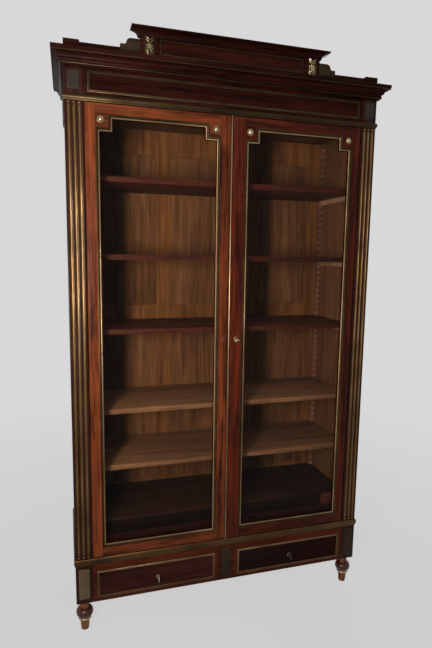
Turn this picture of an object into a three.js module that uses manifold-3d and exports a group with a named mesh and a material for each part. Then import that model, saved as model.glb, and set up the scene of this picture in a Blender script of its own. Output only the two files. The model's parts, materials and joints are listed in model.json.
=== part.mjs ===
// A tall bookcase with two glazed doors, in mahogany with brass mouldings.
// Millimetres, +Z up, the front looks towards -Y. The origin is on the floor, under the middle.
import * as THREE from 'three';
import * as BufferGeometryUtils from 'three/addons/utils/BufferGeometryUtils.js';
import Module from 'manifold-3d';

const wasm = await Module();
wasm.setup();

// Driving dimensions: the carcase
const bodyWidth = 1342;
const bodyDepth = 471;
const footHeight = 141;
const baseHeight = 204;
const doorOpeningHeight = 1867;
const friezeHeight = 157;
const friezeThickness = 25;
const ceilingRise = 17;
const floorRise = 39;
const boardThickness = 22;
const postWidth = 69;
const postDepth = 50;
const sideThickness = 25;
const seatGap = 0.3;
const cutOverrun = 5;

// Driving dimensions: the mouldings
const corniceOut = 44;
const corniceHeight = 58;
const corniceFilletHeight = 12;
const corniceBandHeight = 7;
const corniceBandSetback = 3;
const corniceBedOut = 10;
const corniceLedgeOut = 14;
const corniceStepOut = 20;
const corniceStepHeight = 10;
const corniceStepWidth = 2;
const corniceQuirk = 3;
const corniceAstragalOut = 16;
const corniceAstragalHeight = 9;
const corniceCoveSteps = 5;
const architraveHeight = 22;
const architraveOut = 6.5;
const architraveFilletHeight = 5;
const architraveFilletOut = 3;
const baseMouldingHeight = 30;
const baseMouldingOut = 6;
const baseMouldingFilletHeight = 7;
const baseMouldingFilletOut = 3;
const mouldingSteps = 6;

// Driving dimensions: the crowning
const pedimentWidth = 764;
const pedimentDepth = 28;
const pedimentRise = 109;
const pedimentCorniceHeight = 29;
const pedimentCorniceOut = 29;
const pedimentCorniceEnd = 8;
const pedimentFilletHeight = 6;
const pedimentPostWidth = 69;
const pedimentPanelRecess = 4;
const pedimentPanelFoot = 13;
const plaqueWidth = 42;
const plaqueFoot = 7;
const plaqueThickness = 2;
const plaqueRim = 4;
const plaqueRimProud = 1.5;
const plaqueBossHeight = 38;
const plaqueBossWidth = 22;
const plaqueBossProud = 5;
const plaqueBossSteps = 16;
const bracketWidth = 77;
const bracketHeight = 68;
const bracketThickness = 24;
const bracketSetback = 2;
const bracketStepWidth = 23;
const bracketStepHeight = 45;
const bracketQuirk = 5;
const bracketScrollRadius = 18;
const bracketArcSteps = 8;
const crestingHeight = 32;
const crestingThickness = 20;
const crestingSetback = 6;
const endBlockWidth = 59;
const endBlockHeight = 38;
const endBlockInset = 1;

// Driving dimensions: posts and frieze
const fluteCount = 3;
const fluteSpacing = 20;
const fluteWidth = 13;
const fluteDepth = 5;
const fluteEndMargin = 14;
const fluteArcSteps = 8;
const friezeBeadSideMargin = 16;
const friezeBeadFoot = 33;
const friezeBeadHeight = 77;
const friezeBeadWidth = 11;
const friezeBeadProud = 4;
const friezePanelRecess = 3;

// Driving dimensions: the back
const backFrameThickness = 18;
const backSheetThickness = 5.7;
const backFieldSetback = 4;
const backFieldGap = 0.8;
const backStileWidth = 71;
const backMuntinWidth = 71;
const backMuntinShare = 0.3274;
const backTopRailHeight = 98;
const backMidRailRise = 957;
const backMidRailHeight = 86;
const backBottomRailHeight = 135;

// Driving dimensions: the base
const baseFloorThickness = 8;
const baseRailHeight = 32;
const baseStopGap = 2;
const centreStileWidth = 69;
const centreStileDepth = 28;
const partitionThickness = 18;
const drawerGap = 1.5;
const drawerFrontThickness = 22;
const drawerWall = 12;
const drawerBottom = 8;
const drawerBackGap = 25;
const drawerBoxDrop = 20;
const drawerBoxSideGap = 8;
const drawerKeyHoleRadius = 4;
const drawerLockRise = 62;
const drawerPanelRecess = 2;
const drawerBeadMargin = 19;
const drawerBeadFoot = 9.5;
const drawerBeadHead = 29.5;
const drawerBeadWidth = 9.5;
const drawerBeadProud = 3.5;

// Driving dimensions: the feet
const footNeckRadius = 19;
const footBulbRadius = 36.5;
const footBulbTop = 105;
const footBulbFoot = 62;
const footRingRadius = 25;
const footRingFoot = 53;
const footToeRadius = 20;
const footToeTipRadius = 17;
const footTipRound = 7;
const footTipSteps = 3;
const footSides = 20;
const footBulbSteps = 6;
const footRingSteps = 3;

// Driving dimensions: the doors
const doorGap = 3;
const doorThickness = 28;
const doorMeetingGap = 3;
const doorHeadGap = 2.5;
const beadSideMargin = 41;
const beadCentreMargin = 52.5;
const beadFootMargin = 40.5;
const beadHeadMargin = 39.5;
const beadWidth = 17;
const beadRidge = 12;
const beadLip = 9.3;
const beadProud = 3.5;
const beadInnerProud = 1;
const beadGlassGap = 0.3;
const cornerNotch = 49;
const glassSetback = 12;
const glassThickness = 4;
const glassRebate = 6.3;
const doorEdgeRadius = 6;
const doorEdgeSteps = 6;
const pivotRadius = 3;
const pivotWasherRadius = 5.5;
const pivotReach = 12;
const astragalWidth = 10;
const astragalOut = 8;
const astragalSteps = 8;

// Driving dimensions: the locks and keys
const lockHeight = 930;
const keyPlace = 27;
const keyShaftRadius = 3;
const keyHoleRadius = 4;
const keySides = 12;
const keyBowWidth = 28;
const keyBowHeight = 18;
const keyBowThickness = 4;
const keyBowHoleShare = 0.52;
const keyBowSteps = 20;
const keyBowReach = 24;
const keyCollarRadius = 4.6;
const keyCollarLength = 4;
const keyDoorTilt = 0;
const keyDrawerTilt = 90;
const keyBitWidth = 3;
const keyBitDrop = 9;
const keyBitLength = 6;
const keyTipClearance = 2;
const lockCaseWidth = 45;
const lockCaseHeight = 80;
const lockCaseDepth = 14;
const lockCaseWall = 2;
const lockCaseSideMargin = 4;
const boltWidth = 30;
const boltHeight = 12;
const boltThickness = 5;
const boltRise = 13;

// Driving dimensions: shelves, racks and cleats
const shelfThickness = 22.5;
const shelfFront = 88;
const shelfBackGap = 2;
const shelfEndGap = 1;
const shelfRackGap = 1;
const shelfSeatShares = [0.11, 0.26, 0.46, 0.65, 0.83];
const rackWidth = 30;
const rackThickness = 18;
const rackPitch = 31.8;
const rackToothDepth = 12;
const rackFirstSeat = 17;
const rackHeadMargin = 29;
const cleatHeight = 22;

// Driving dimensions: the inner drawers
const caseFront = 105;
const caseTopThickness = 16;
const caseClearHeight = 62;
const caseWall = 18;
const caseSideInset = 109;
const caseBackGap = 4;
const innerDrawerGap = 1.5;
const innerDrawerBackGap = 27;
const innerDrawerFrontThickness = 16;
const innerDrawerWall = 9;
const innerDrawerSetback = 7;
const knobRadius = 9;
const knobTipRadius = 4.5;
const knobStemRadius = 4.5;
const knobReach = 18;
const knobRimReach = 13.5;
const knobBackReach = 9;
const knobStemLength = 4.5;
const knobSides = 14;

// Places worked out from the driving dimensions, with the front plane at zero
const halfWidth = bodyWidth / 2;
const postInner = halfWidth - postWidth;
const sideInner = halfWidth - sideThickness;
const doorFoot = footHeight + baseHeight;
const doorHead = doorFoot + doorOpeningHeight;
const carcaseTop = doorHead + friezeHeight;
const corniceTop = carcaseTop + boardThickness;
const corniceFoot = corniceTop - corniceHeight;
const floorTop = footHeight + baseFloorThickness;
const bottomBoardTop = doorFoot + floorRise;
const bottomBoardFoot = bottomBoardTop - boardThickness;
const baseRailFoot = doorFoot - baseRailHeight;
const stopFace = doorThickness + baseStopGap;
const ceilingFoot = doorHead + ceilingRise;
const ceilingTop = ceilingFoot + boardThickness;
const backFace = bodyDepth - backSheetThickness - seatGap - backFrameThickness;
const lockLevel = doorFoot + lockHeight;
const caseClearTop = bottomBoardTop + caseClearHeight;
const caseTop = caseClearTop + caseTopThickness;
const caseInner = sideInner - caseSideInset;
const rackFoot = caseTop + seatGap;
const rackSeatFoot = rackFoot + rackFirstSeat;
const rackHead = ceilingFoot - rackHeadMargin;
const rackBackPlace = backFace - seatGap - rackWidth;
const rackSeats = Math.floor((rackHead - rackSeatFoot) / rackPitch);
const shelfSeats = shelfSeatShares.map((share) => Math.round(share * rackSeats));
const meetingEdge = doorMeetingGap / 2;
const doorEdge = postInner - doorGap;
const pivotPlace = doorEdge - doorEdgeRadius;
const beadOuterSide = doorEdge - beadSideMargin;
const beadOuterCentre = meetingEdge + beadCentreMargin;
const beadOuterFoot = doorFoot + doorHeadGap + beadFootMargin;
const beadOuterHead = doorHead - doorHeadGap - beadHeadMargin;

// Materials
const finish = (color, roughness, metalness) =>
  new THREE.MeshStandardMaterial({ color, roughness, metalness });
const mahogany = finish(0x7a3a20, 0.35, 0);
const paleWood = finish(0x9a7650, 0.6, 0);
const brass = finish(0xa8935c, 0.35, 1);
const steel = finish(0x6b6862, 0.45, 1);
const glass = new THREE.MeshStandardMaterial({
  color: 0xc9d2cf, roughness: 0.05, metalness: 0, transparent: true, opacity: 0.3,
});

const bookcase = new THREE.Group();
bookcase.position.y = -(bodyDepth - corniceOut) / 2;

// Geometry helpers
function place(name, geometry, material) {
  const mesh = new THREE.Mesh(geometry, material);
  mesh.name = name;
  bookcase.add(mesh);
  return mesh;
}

function block(x0, x1, y0, y1, z0, z1) {
  const geometry = new THREE.BoxGeometry(x1 - x0, y1 - y0, z1 - z0);
  return geometry.translate((x0 + x1) / 2, (y0 + y1) / 2, (z0 + z1) / 2);
}

// The same block on the left (side -1) or on the right (side 1), from inner to outer X
function sideBlock(side, inner, outer, y0, y1, z0, z1) {
  const edges = side < 0 ? [-outer, -inner] : [inner, outer];
  return block(edges[0], edges[1], y0, y1, z0, z1);
}

function outline(points) {
  return new THREE.Shape(points.map(([a, b]) => new THREE.Vector2(a, b)));
}

// Outline points for the left (hand -1) or right (hand 1), in the same turning direction
function mirrored(points, hand) {
  const turned = points.map(([a, b]) => [hand * a, b]);
  return hand < 0 ? turned.reverse() : turned;
}

function raise(points, z0, z1) {
  const geometry = new THREE.ExtrudeGeometry(outline(points), { depth: z1 - z0, bevelEnabled: false });
  return geometry.translate(0, 0, z0);
}

// An outline in X and Z, carried along Y from front to back
function deepen(shape, y0, y1) {
  const geometry = new THREE.ExtrudeGeometry(shape, { depth: y1 - y0, bevelEnabled: false });
  return geometry.rotateX(Math.PI / 2).translate(0, y1, 0);
}

function ringShape(outerPoints, innerPoints) {
  const shape = outline(outerPoints);
  shape.holes.push(new THREE.Path(innerPoints.map(([a, b]) => new THREE.Vector2(a, b))));
  return shape;
}

// A flat rectangular frame on the front plane, from the edges of its outline and of its opening
function frame(outer, inner, proud) {
  const corners = ([x0, x1, z0, z1]) => [[x0, z0], [x1, z0], [x1, z1], [x0, z1]];
  return deepen(ringShape(corners(outer), corners(inner)), -proud, -seatGap);
}

// An outline in Y and Z, carried along X
function widen(points, x0, x1) {
  const geometry = new THREE.ExtrudeGeometry(outline(points), { depth: x1 - x0, bevelEnabled: false });
  return geometry.rotateY(Math.PI / 2).rotateX(Math.PI / 2).translate(x0, 0, 0);
}

// A turned piece standing on the Z axis, from [radius, height] points that start and end on the axis
function turn(profile, sides) {
  const points = profile.map(([radius, height]) => new THREE.Vector2(radius, height));
  return new THREE.LatheGeometry(points, sides).rotateX(Math.PI / 2);
}

// A turned piece lying along Y, with its heights running from the front to the back
function turnAlongY(profile, sides) {
  return turn(profile, sides).rotateX(-Math.PI / 2);
}

function merged(geometry) {
  const bare = geometry.clone();
  bare.deleteAttribute('normal');
  bare.deleteAttribute('uv');
  return BufferGeometryUtils.mergeVertices(bare);
}

function solid(geometry) {
  const closed = merged(geometry);
  return new wasm.Manifold(new wasm.Mesh({
    numProp: 3,
    vertProperties: new Float32Array(closed.attributes.position.array),
    triVerts: new Uint32Array(closed.index.array),
  }));
}

function surface(body) {
  const found = body.getMesh();
  const geometry = new THREE.BufferGeometry();
  geometry.setAttribute('position', new THREE.BufferAttribute(found.vertProperties, 3));
  geometry.setIndex(new THREE.BufferAttribute(found.triVerts, 1));
  geometry.computeVertexNormals();
  return geometry;
}

function join(geometries) {
  return surface(geometries.map(solid).reduce((whole, piece) => whole.add(piece)));
}

function cut(geometry, tools) {
  return surface(tools.map(solid).reduce((rest, tool) => rest.subtract(tool), solid(geometry)));
}

function arc(centreA, centreB, radius, from, to, steps) {
  const points = [];
  for (let i = 0; i <= steps; i += 1) {
    const angle = THREE.MathUtils.degToRad(from + ((to - from) * i) / steps);
    points.push([centreA + radius * Math.cos(angle), centreB + radius * Math.sin(angle)]);
  }
  return points;
}

// A closed surface through rings that have as many points each, capped at both ends
function loft(rings, capFaces) {
  const count = rings[0].length;
  const corners = rings.flat(2);
  const faces = [];
  for (let ring = 0; ring + 1 < rings.length; ring += 1) {
    for (let i = 0; i < count; i += 1) {
      const next = (i + 1) % count;
      const low = ring * count;
      const high = low + count;
      faces.push(low + i, low + next, high + next, low + i, high + next, high + i);
    }
  }
  const last = (rings.length - 1) * count;
  for (const [a, b, c] of capFaces) {
    faces.push(c, b, a, last + a, last + b, last + c);
  }
  const geometry = new THREE.BufferGeometry();
  geometry.setAttribute('position', new THREE.BufferAttribute(new Float32Array(corners), 3));
  geometry.setIndex(faces);
  geometry.computeVertexNormals();
  return geometry;
}

// A moulding that runs along the right side, across the front and back along the left side.
// Its profile is a closed list of [projection, height] points, counter-clockwise.
function wrap(profile, inner, back) {
  const corners = profile.map(([a, b]) => new THREE.Vector2(a, b));
  const capFaces = THREE.ShapeUtils.triangulateShape(corners, []);
  const stations = [
    (out) => [inner + out, back],
    (out) => [inner + out, -out],
    (out) => [-inner - out, -out],
    (out) => [-inner - out, back],
  ];
  const rings = stations.map((station) => profile.map(([out, z]) => [...station(out), z]));
  return loft(rings, capFaces);
}

// A capping piece: level rectangles that step out at the front and at both ends, level with the back
function capping(profile, inner, back) {
  const rings = profile.map(([out, z]) => [
    [-inner - out, -out, z],
    [inner + out, -out, z],
    [inner + out, back, z],
    [-inner - out, back, z],
  ]);
  return loft(rings, [[0, 1, 2], [0, 2, 3]]);
}

// A hollow quarter curve between two [projection, height] points
function cove(from, to, steps) {
  const points = [];
  for (let i = 0; i <= steps; i += 1) {
    const angle = (i / steps) * (Math.PI / 2);
    points.push([
      from[0] + (to[0] - from[0]) * Math.sin(angle),
      to[1] + (from[1] - to[1]) * Math.cos(angle),
    ]);
  }
  return points;
}

// A rounded nose that stands out between two heights
function nose(foot, head, root, out, steps) {
  const points = [];
  for (let i = 0; i <= steps; i += 1) {
    const angle = Math.PI * (i / steps - 1 / 2);
    points.push([
      root + (out - root) * Math.cos(angle),
      (foot + head) / 2 + ((head - foot) / 2) * Math.sin(angle),
    ]);
  }
  return points;
}

// Carcase
function side(name, hand) {
  place(name, sideBlock(hand, sideInner, halfWidth, postDepth + seatGap, bodyDepth,
    footHeight, carcaseTop - seatGap), mahogany);
}

function flutes(hand) {
  const middle = hand * (halfWidth - postWidth / 2);
  const foot = doorFoot + fluteEndMargin + fluteWidth / 2;
  const head = doorHead - fluteEndMargin - fluteWidth / 2;
  const radius = fluteWidth / 2;
  const tools = [];
  for (let i = 0; i < fluteCount; i += 1) {
    const x = middle + (i - (fluteCount - 1) / 2) * fluteSpacing;
    const ring = [
      ...arc(x, head, radius, 0, 180, fluteArcSteps),
      ...arc(x, foot, radius, 180, 360, fluteArcSteps),
    ];
    tools.push(deepen(outline(ring), -cutOverrun, fluteDepth));
  }
  return tools;
}

function post(name, hand) {
  const stock = sideBlock(hand, postInner, halfWidth, 0, postDepth, footHeight, carcaseTop - seatGap);
  place(name, cut(stock, flutes(hand)), mahogany);
}

// A board between the sides whose front end is notched round the posts
function notchedBoard(z0, z1, front, back) {
  const inner = postInner - seatGap;
  const outer = sideInner - seatGap;
  const shoulder = postDepth + seatGap;
  return raise([
    [-inner, front], [inner, front], [inner, shoulder], [outer, shoulder],
    [outer, back], [-outer, back], [-outer, shoulder], [-inner, shoulder],
  ], z0, z1);
}

function pivotHole(hand, z0, z1) {
  const hole = turn([
    [0, z0], [pivotRadius + seatGap, z0], [pivotRadius + seatGap, z1], [0, z1],
  ], keySides);
  return hole.translate(hand * pivotPlace, doorEdgeRadius, 0);
}

function carcaseBoards() {
  const back = backFace - seatGap;
  place('bottom_board', notchedBoard(bottomBoardFoot, bottomBoardTop, stopFace, back), mahogany);
  const ceilingFront = friezeThickness + seatGap;
  place('ceiling_board', notchedBoard(ceilingFoot, ceilingTop, ceilingFront, back), paleWood);
  place('top_board', block(-halfWidth, halfWidth, 0, bodyDepth, carcaseTop, corniceTop), paleWood);
}

function backBays() {
  const stileEdge = sideInner - backStileWidth;
  const muntinMiddle = sideInner * backMuntinShare;
  const muntinInner = muntinMiddle - backMuntinWidth / 2;
  const muntinOuter = muntinMiddle + backMuntinWidth / 2;
  const midFoot = doorFoot + backMidRailRise;
  const columns = [[-stileEdge, -muntinOuter], [-muntinInner, muntinInner], [muntinOuter, stileEdge]];
  const rows = [
    [doorFoot + backBottomRailHeight, midFoot],
    [midFoot + backMidRailHeight, doorHead - backTopRailHeight],
  ];
  return columns.flatMap(([x0, x1]) => rows.map(([z0, z1]) => [x0, x1, z0, z1]));
}

function backBoards() {
  const outer = sideInner - seatGap;
  const foot = floorTop + seatGap;
  const head = carcaseTop - seatGap;
  const frameBack = backFace + backFrameThickness;
  const windows = backBays().map(([x0, x1, z0, z1]) =>
    block(x0, x1, backFace - cutOverrun, frameBack + cutOverrun, z0, z1));
  place('back_frame', cut(block(-outer, outer, backFace, frameBack, foot, head), windows), paleWood);
  const sheetFront = frameBack + seatGap;
  const sheet = block(-outer, outer, sheetFront, sheetFront + backSheetThickness, footHeight, head);
  const gap = backFieldGap;
  const fields = backBays().map(([x0, x1, z0, z1]) =>
    block(x0 + gap, x1 - gap, backFace + backFieldSetback, sheetFront + backSheetThickness / 2,
      z0 + gap, z1 - gap));
  place('back_boarding', join([sheet, ...fields]), paleWood);
}

// Frieze and mouldings
function frieze() {
  const edge = postInner - seatGap;
  const foot = doorHead + seatGap;
  const stock = block(-edge, edge, 0, friezeThickness, foot, carcaseTop - seatGap);
  const beadEdge = postInner - friezeBeadSideMargin;
  const beadFoot = doorHead + friezeBeadFoot;
  const beadHead = beadFoot + friezeBeadHeight;
  const panelEdge = beadEdge - friezeBeadWidth;
  const panelFoot = beadFoot + friezeBeadWidth;
  const panelHead = beadHead - friezeBeadWidth;
  const panel = block(-panelEdge, panelEdge, -cutOverrun, friezePanelRecess, panelFoot, panelHead);
  const holes = [-1, 1].map((hand) => pivotHole(hand, doorHead - cutOverrun, doorHead + pivotReach));
  place('frieze_board', cut(stock, [panel, ...holes]), mahogany);
  place('frieze_bead', frame([-beadEdge, beadEdge, beadFoot, beadHead],
    [-panelEdge, panelEdge, panelFoot, panelHead], friezeBeadProud), brass);
}

function architrave() {
  const foot = doorHead + seatGap;
  const filletTop = foot + architraveFilletHeight;
  const head = foot + architraveHeight;
  place('architrave_moulding', wrap([
    [seatGap, foot], [architraveFilletOut, foot], [architraveFilletOut, filletTop],
    ...nose(filletTop, head, architraveFilletOut, architraveOut, mouldingSteps).slice(1),
    [seatGap, head],
  ], halfWidth, bodyDepth), brass);
}

function baseMoulding() {
  const foot = doorFoot - baseMouldingHeight;
  const filletTop = foot + baseMouldingFilletHeight;
  place('base_moulding', wrap([
    [seatGap, foot], [baseMouldingFilletOut, foot], [baseMouldingFilletOut, filletTop],
    ...nose(filletTop, doorFoot, baseMouldingFilletOut, baseMouldingOut, mouldingSteps).slice(1),
    [seatGap, doorFoot],
  ], halfWidth, bodyDepth), brass);
}

function cornice() {
  const filletFoot = corniceTop - corniceFilletHeight;
  const bandFoot = filletFoot - corniceBandHeight;
  const bandOut = corniceOut - corniceBandSetback;
  const astragalFoot = corniceFoot + corniceQuirk;
  const astragalHead = astragalFoot + corniceAstragalHeight;
  const ledge = astragalHead + seatGap;
  const stepFoot = ledge + corniceStepHeight;
  place('cornice', wrap([
    [seatGap, corniceFoot], [corniceBedOut, corniceFoot], [corniceBedOut, ledge],
    ...cove([corniceStepOut, stepFoot], [corniceLedgeOut, ledge], corniceCoveSteps).reverse(),
    ...cove([bandOut - corniceQuirk, bandFoot], [corniceStepOut + corniceStepWidth, stepFoot],
      corniceCoveSteps).reverse(),
    [bandOut, bandFoot], [bandOut, filletFoot],
    [corniceOut, filletFoot], [corniceOut, corniceTop], [seatGap, corniceTop],
  ], halfWidth, bodyDepth), mahogany);
  const root = corniceBedOut + seatGap;
  const round = nose(astragalFoot, astragalHead, root, corniceAstragalOut, mouldingSteps);
  place('cornice_astragal', wrap(round, halfWidth, bodyDepth), brass);
}

// Crowning
function pediment() {
  const half = pedimentWidth / 2;
  const foot = corniceTop + seatGap;
  const neck = corniceTop + pedimentRise - pedimentCorniceHeight;
  const head = corniceTop + pedimentRise;
  const panelEdge = half - pedimentPostWidth;
  const stock = block(-half, half, 0, pedimentDepth, foot, neck - seatGap);
  const panel = block(-panelEdge, panelEdge, -cutOverrun, pedimentPanelRecess,
    corniceTop + pedimentPanelFoot, neck + cutOverrun);
  place('pediment_board', cut(stock, [panel]), mahogany);
  place('pediment_cornice', capping([
    ...cove([pedimentCorniceOut, head - pedimentFilletHeight], [0, neck], corniceCoveSteps).reverse(),
    [pedimentCorniceOut, head],
  ], half + pedimentCorniceEnd, pedimentDepth), mahogany);
}

// A relief plaque: a plate with a raised rim and an oval boss
function plaque(name, hand) {
  const middle = hand * (pedimentWidth - pedimentPostWidth) / 2;
  const foot = corniceTop + plaqueFoot;
  const head = corniceTop + pedimentRise - pedimentCorniceHeight - seatGap;
  const half = plaqueWidth / 2;
  const level = (foot + head) / 2;
  const plate = block(-half, half, -plaqueThickness, -seatGap, foot, head);
  const rim = frame([-half, half, foot, head],
    [-half + plaqueRim, half - plaqueRim, foot + plaqueRim, head - plaqueRim],
    plaqueThickness + plaqueRimProud);
  const boss = new THREE.SphereGeometry(1, plaqueBossSteps, plaqueBossSteps / 2)
    .scale(plaqueBossWidth / 2, plaqueBossProud, plaqueBossHeight / 2)
    .translate(0, -plaqueThickness, level);
  const clear = block(-half, half, -seatGap, plaqueBossProud, foot, head);
  const relief = cut(join([plate, rim, boss]), [clear]);
  place(name, relief.translate(middle, 0, 0), brass);
}

function bracket(name, hand) {
  const inner = pedimentWidth / 2 + seatGap;
  const foot = corniceTop + seatGap;
  const step = foot + bracketStepHeight;
  const head = foot + bracketHeight;
  const outer = inner + bracketWidth;
  const shoulder = outer - bracketStepWidth;
  const scroll = arc(shoulder - bracketScrollRadius, head - bracketScrollRadius,
    bracketScrollRadius, 0, 90, bracketArcSteps);
  const edge = [
    [inner, foot], [outer, foot], [outer, step], [shoulder + bracketQuirk, step],
    [shoulder, step + bracketQuirk], ...scroll, [inner, head],
  ];
  const front = bracketSetback;
  const shape = outline(mirrored(edge, hand));
  place(name, deepen(shape, front, front + bracketThickness), mahogany);
}

// The low parapet beside a bracket: a strip with a thicker block over the corner post
function parapet(name, hand) {
  const bracketEnd = pedimentWidth / 2 + bracketWidth + 2 * seatGap;
  const blockOuter = halfWidth - endBlockInset;
  const blockInner = blockOuter - endBlockWidth;
  const foot = corniceTop + seatGap;
  const strip = sideBlock(hand, bracketEnd, blockInner + cutOverrun, crestingSetback,
    crestingSetback + crestingThickness, foot, corniceTop + crestingHeight);
  const die = sideBlock(hand, blockInner, blockOuter, 0, endBlockWidth,
    foot, corniceTop + endBlockHeight);
  place(name, join([strip, die]), mahogany);
}

// Base
function base() {
  const edge = postInner - seatGap;
  const back = backFace - seatGap;
  const railHead = bottomBoardFoot - seatGap;
  const rail = widen([
    [0, baseRailFoot], [postDepth, baseRailFoot], [postDepth, railHead],
    [stopFace, railHead], [stopFace, doorFoot], [0, doorFoot],
  ], -edge, edge);
  const holes = [-1, 1].map((hand) =>
    pivotHole(hand, doorFoot - pivotReach, doorFoot + cutOverrun));
  place('base_rail', cut(rail, holes), mahogany);
  place('base_floor', notchedBoard(footHeight, floorTop, 0, back), mahogany);
  const stileHalf = centreStileWidth / 2;
  const stile = block(-stileHalf, stileHalf, 0, centreStileDepth,
    floorTop + seatGap, baseRailFoot - seatGap);
  const half = partitionThickness / 2;
  const underRail = block(-half, half, centreStileDepth / 2, back, floorTop + seatGap,
    baseRailFoot - seatGap);
  const behindRail = block(-half, half, postDepth + seatGap, back, floorTop + seatGap, railHead);
  place('base_partition', join([stile, underRail, behindRail]), mahogany);
}

function drawerFrontPlace() {
  const inner = centreStileWidth / 2 + drawerGap;
  const outer = postInner - drawerGap;
  const low = floorTop + drawerGap;
  const high = baseRailFoot - drawerGap;
  return { inner, outer, low, high, middle: (inner + outer) / 2, lock: low + drawerLockRise };
}

function baseDrawer(word, hand) {
  const { inner, outer, low, high, middle, lock } = drawerFrontPlace();
  const front = sideBlock(hand, inner, outer, 0, drawerFrontThickness, low, high);
  const boxInner = inner + drawerBoxSideGap;
  const boxOuter = outer - drawerBoxSideGap;
  const boxLow = floorTop + seatGap;
  const boxHead = high - drawerBoxDrop;
  const boxBack = backFace - drawerBackGap;
  const box = sideBlock(hand, boxInner, boxOuter, drawerFrontThickness / 2, boxBack, boxLow, boxHead);
  const hollow = sideBlock(hand, boxInner + drawerWall, boxOuter - drawerWall, drawerFrontThickness,
    boxBack - drawerWall, boxLow + drawerBottom, boxHead + cutOverrun);
  const beadInner = inner + drawerBeadMargin;
  const beadOuter = outer - drawerBeadMargin;
  const beadLow = low + drawerBeadFoot;
  const beadHigh = high - drawerBeadHead;
  const panelInner = beadInner + drawerBeadWidth;
  const panelOuter = beadOuter - drawerBeadWidth;
  const panelLow = beadLow + drawerBeadWidth;
  const panelHigh = beadHigh - drawerBeadWidth;
  const panel = sideBlock(hand, panelInner, panelOuter, -cutOverrun, drawerPanelRecess,
    panelLow, panelHigh);
  const keyhole = turnAlongY([
    [0, -cutOverrun], [drawerKeyHoleRadius, -cutOverrun],
    [drawerKeyHoleRadius, drawerFrontThickness + cutOverrun], [0, drawerFrontThickness + cutOverrun],
  ], keySides).translate(hand * middle, 0, lock);
  place(`base_drawer_${word}`, cut(join([front, box]), [hollow, panel, keyhole]), mahogany);
  const beadHalf = (beadOuter - beadInner) / 2;
  const panelHalf = (panelOuter - panelInner) / 2;
  const bead = frame([-beadHalf, beadHalf, beadLow, beadHigh],
    [-panelHalf, panelHalf, panelLow, panelHigh], drawerBeadProud);
  place(`base_drawer_bead_${word}`, bead.translate(hand * middle, 0, 0), brass);
}

// Feet
function foot(name, x, y) {
  const bulbMiddle = (footBulbTop + footBulbFoot) / 2;
  const bulbHalf = (footBulbTop - footBulbFoot) / 2;
  const bulb = [];
  for (let i = 0; i <= footBulbSteps; i += 1) {
    const angle = Math.PI * (i / footBulbSteps - 1 / 2);
    bulb.push([footNeckRadius + (footBulbRadius - footNeckRadius) * Math.cos(angle),
      bulbMiddle + bulbHalf * Math.sin(angle)]);
  }
  const tip = arc(footToeTipRadius - footTipRound, footTipRound, footTipRound, -90, 0, footTipSteps);
  const profile = [
    [0, 0], ...tip, [footToeRadius, footRingFoot],
    ...nose(footRingFoot, footBulbFoot, footToeRadius, footRingRadius, footRingSteps).slice(1),
    ...bulb, [footNeckRadius, footHeight - seatGap], [0, footHeight - seatGap],
  ];
  place(name, turn(profile, footSides).translate(x, y, 0), mahogany);
}

function feet() {
  const x = halfWidth - postWidth / 2;
  const front = postWidth / 2;
  const rear = bodyDepth - footBulbRadius;
  foot('foot_front_left', -x, front);
  foot('foot_front_right', x, front);
  foot('foot_back_left', -x, rear);
  foot('foot_back_right', x, rear);
}

// Doors
// The notched outline of a door's light, drawn inset from the outer edge of its bead
function lightOutline(hand, inset) {
  const inner = beadOuterCentre + inset;
  const outer = beadOuterSide - inset;
  const low = beadOuterFoot + inset;
  const high = beadOuterHead - inset;
  const points = [
    [inner, low], [outer, low], [outer, high - cornerNotch], [outer - cornerNotch, high - cornerNotch],
    [outer - cornerNotch, high], [inner + cornerNotch, high], [inner + cornerNotch, high - cornerNotch],
    [inner, high - cornerNotch],
  ];
  return mirrored(points, hand);
}

// The plan of a door, with its outer front edge rounded about the pivot
function doorPlan(hand) {
  const centre = doorEdge - doorEdgeRadius;
  const round = arc(centre, doorEdgeRadius, doorEdgeRadius, -90, 0, doorEdgeSteps);
  return mirrored([
    [meetingEdge, 0], ...round, [doorEdge, doorThickness], [meetingEdge, doorThickness],
  ], hand);
}

function doorFrame(name, hand) {
  const foot = doorFoot + doorHeadGap;
  const head = doorHead - doorHeadGap;
  const stock = raise(doorPlan(hand), foot, head);
  const sight = deepen(outline(lightOutline(hand, beadLip)), -cutOverrun, doorThickness + cutOverrun);
  const rebateInset = beadLip - glassRebate;
  const rebate = sideBlock(hand, beadOuterCentre + rebateInset, beadOuterSide - rebateInset,
    glassSetback, doorThickness + cutOverrun,
    beadOuterFoot + rebateInset, beadOuterHead - rebateInset);
  const tools = [sight, rebate,
    pivotHole(hand, foot - cutOverrun, foot + pivotReach),
    pivotHole(hand, head - pivotReach, head + cutOverrun)];
  if (hand > 0) {
    tools.push(turnAlongY([
      [0, -cutOverrun], [keyHoleRadius, -cutOverrun],
      [keyHoleRadius, doorThickness + cutOverrun], [0, doorThickness + cutOverrun],
    ], keySides).translate(keyPlace, 0, lockLevel));
  }
  place(name, cut(stock, tools), mahogany);
}

function doorGlass(name, hand) {
  const inset = beadLip - glassRebate + seatGap;
  place(name, sideBlock(hand, beadOuterCentre + inset, beadOuterSide - inset,
    glassSetback + seatGap, glassSetback + glassThickness,
    beadOuterFoot + inset, beadOuterHead - inset), glass);
}

function doorBead(name, hand) {
  const ridge = deepen(ringShape(lightOutline(hand, 0), lightOutline(hand, beadRidge)),
    -beadProud, -seatGap);
  const inner = lightOutline(hand, beadWidth);
  const lip = deepen(ringShape(lightOutline(hand, beadLip + seatGap), inner),
    -beadInnerProud, glassSetback - beadGlassGap);
  place(name, join([ridge, lip]), brass);
}

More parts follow.
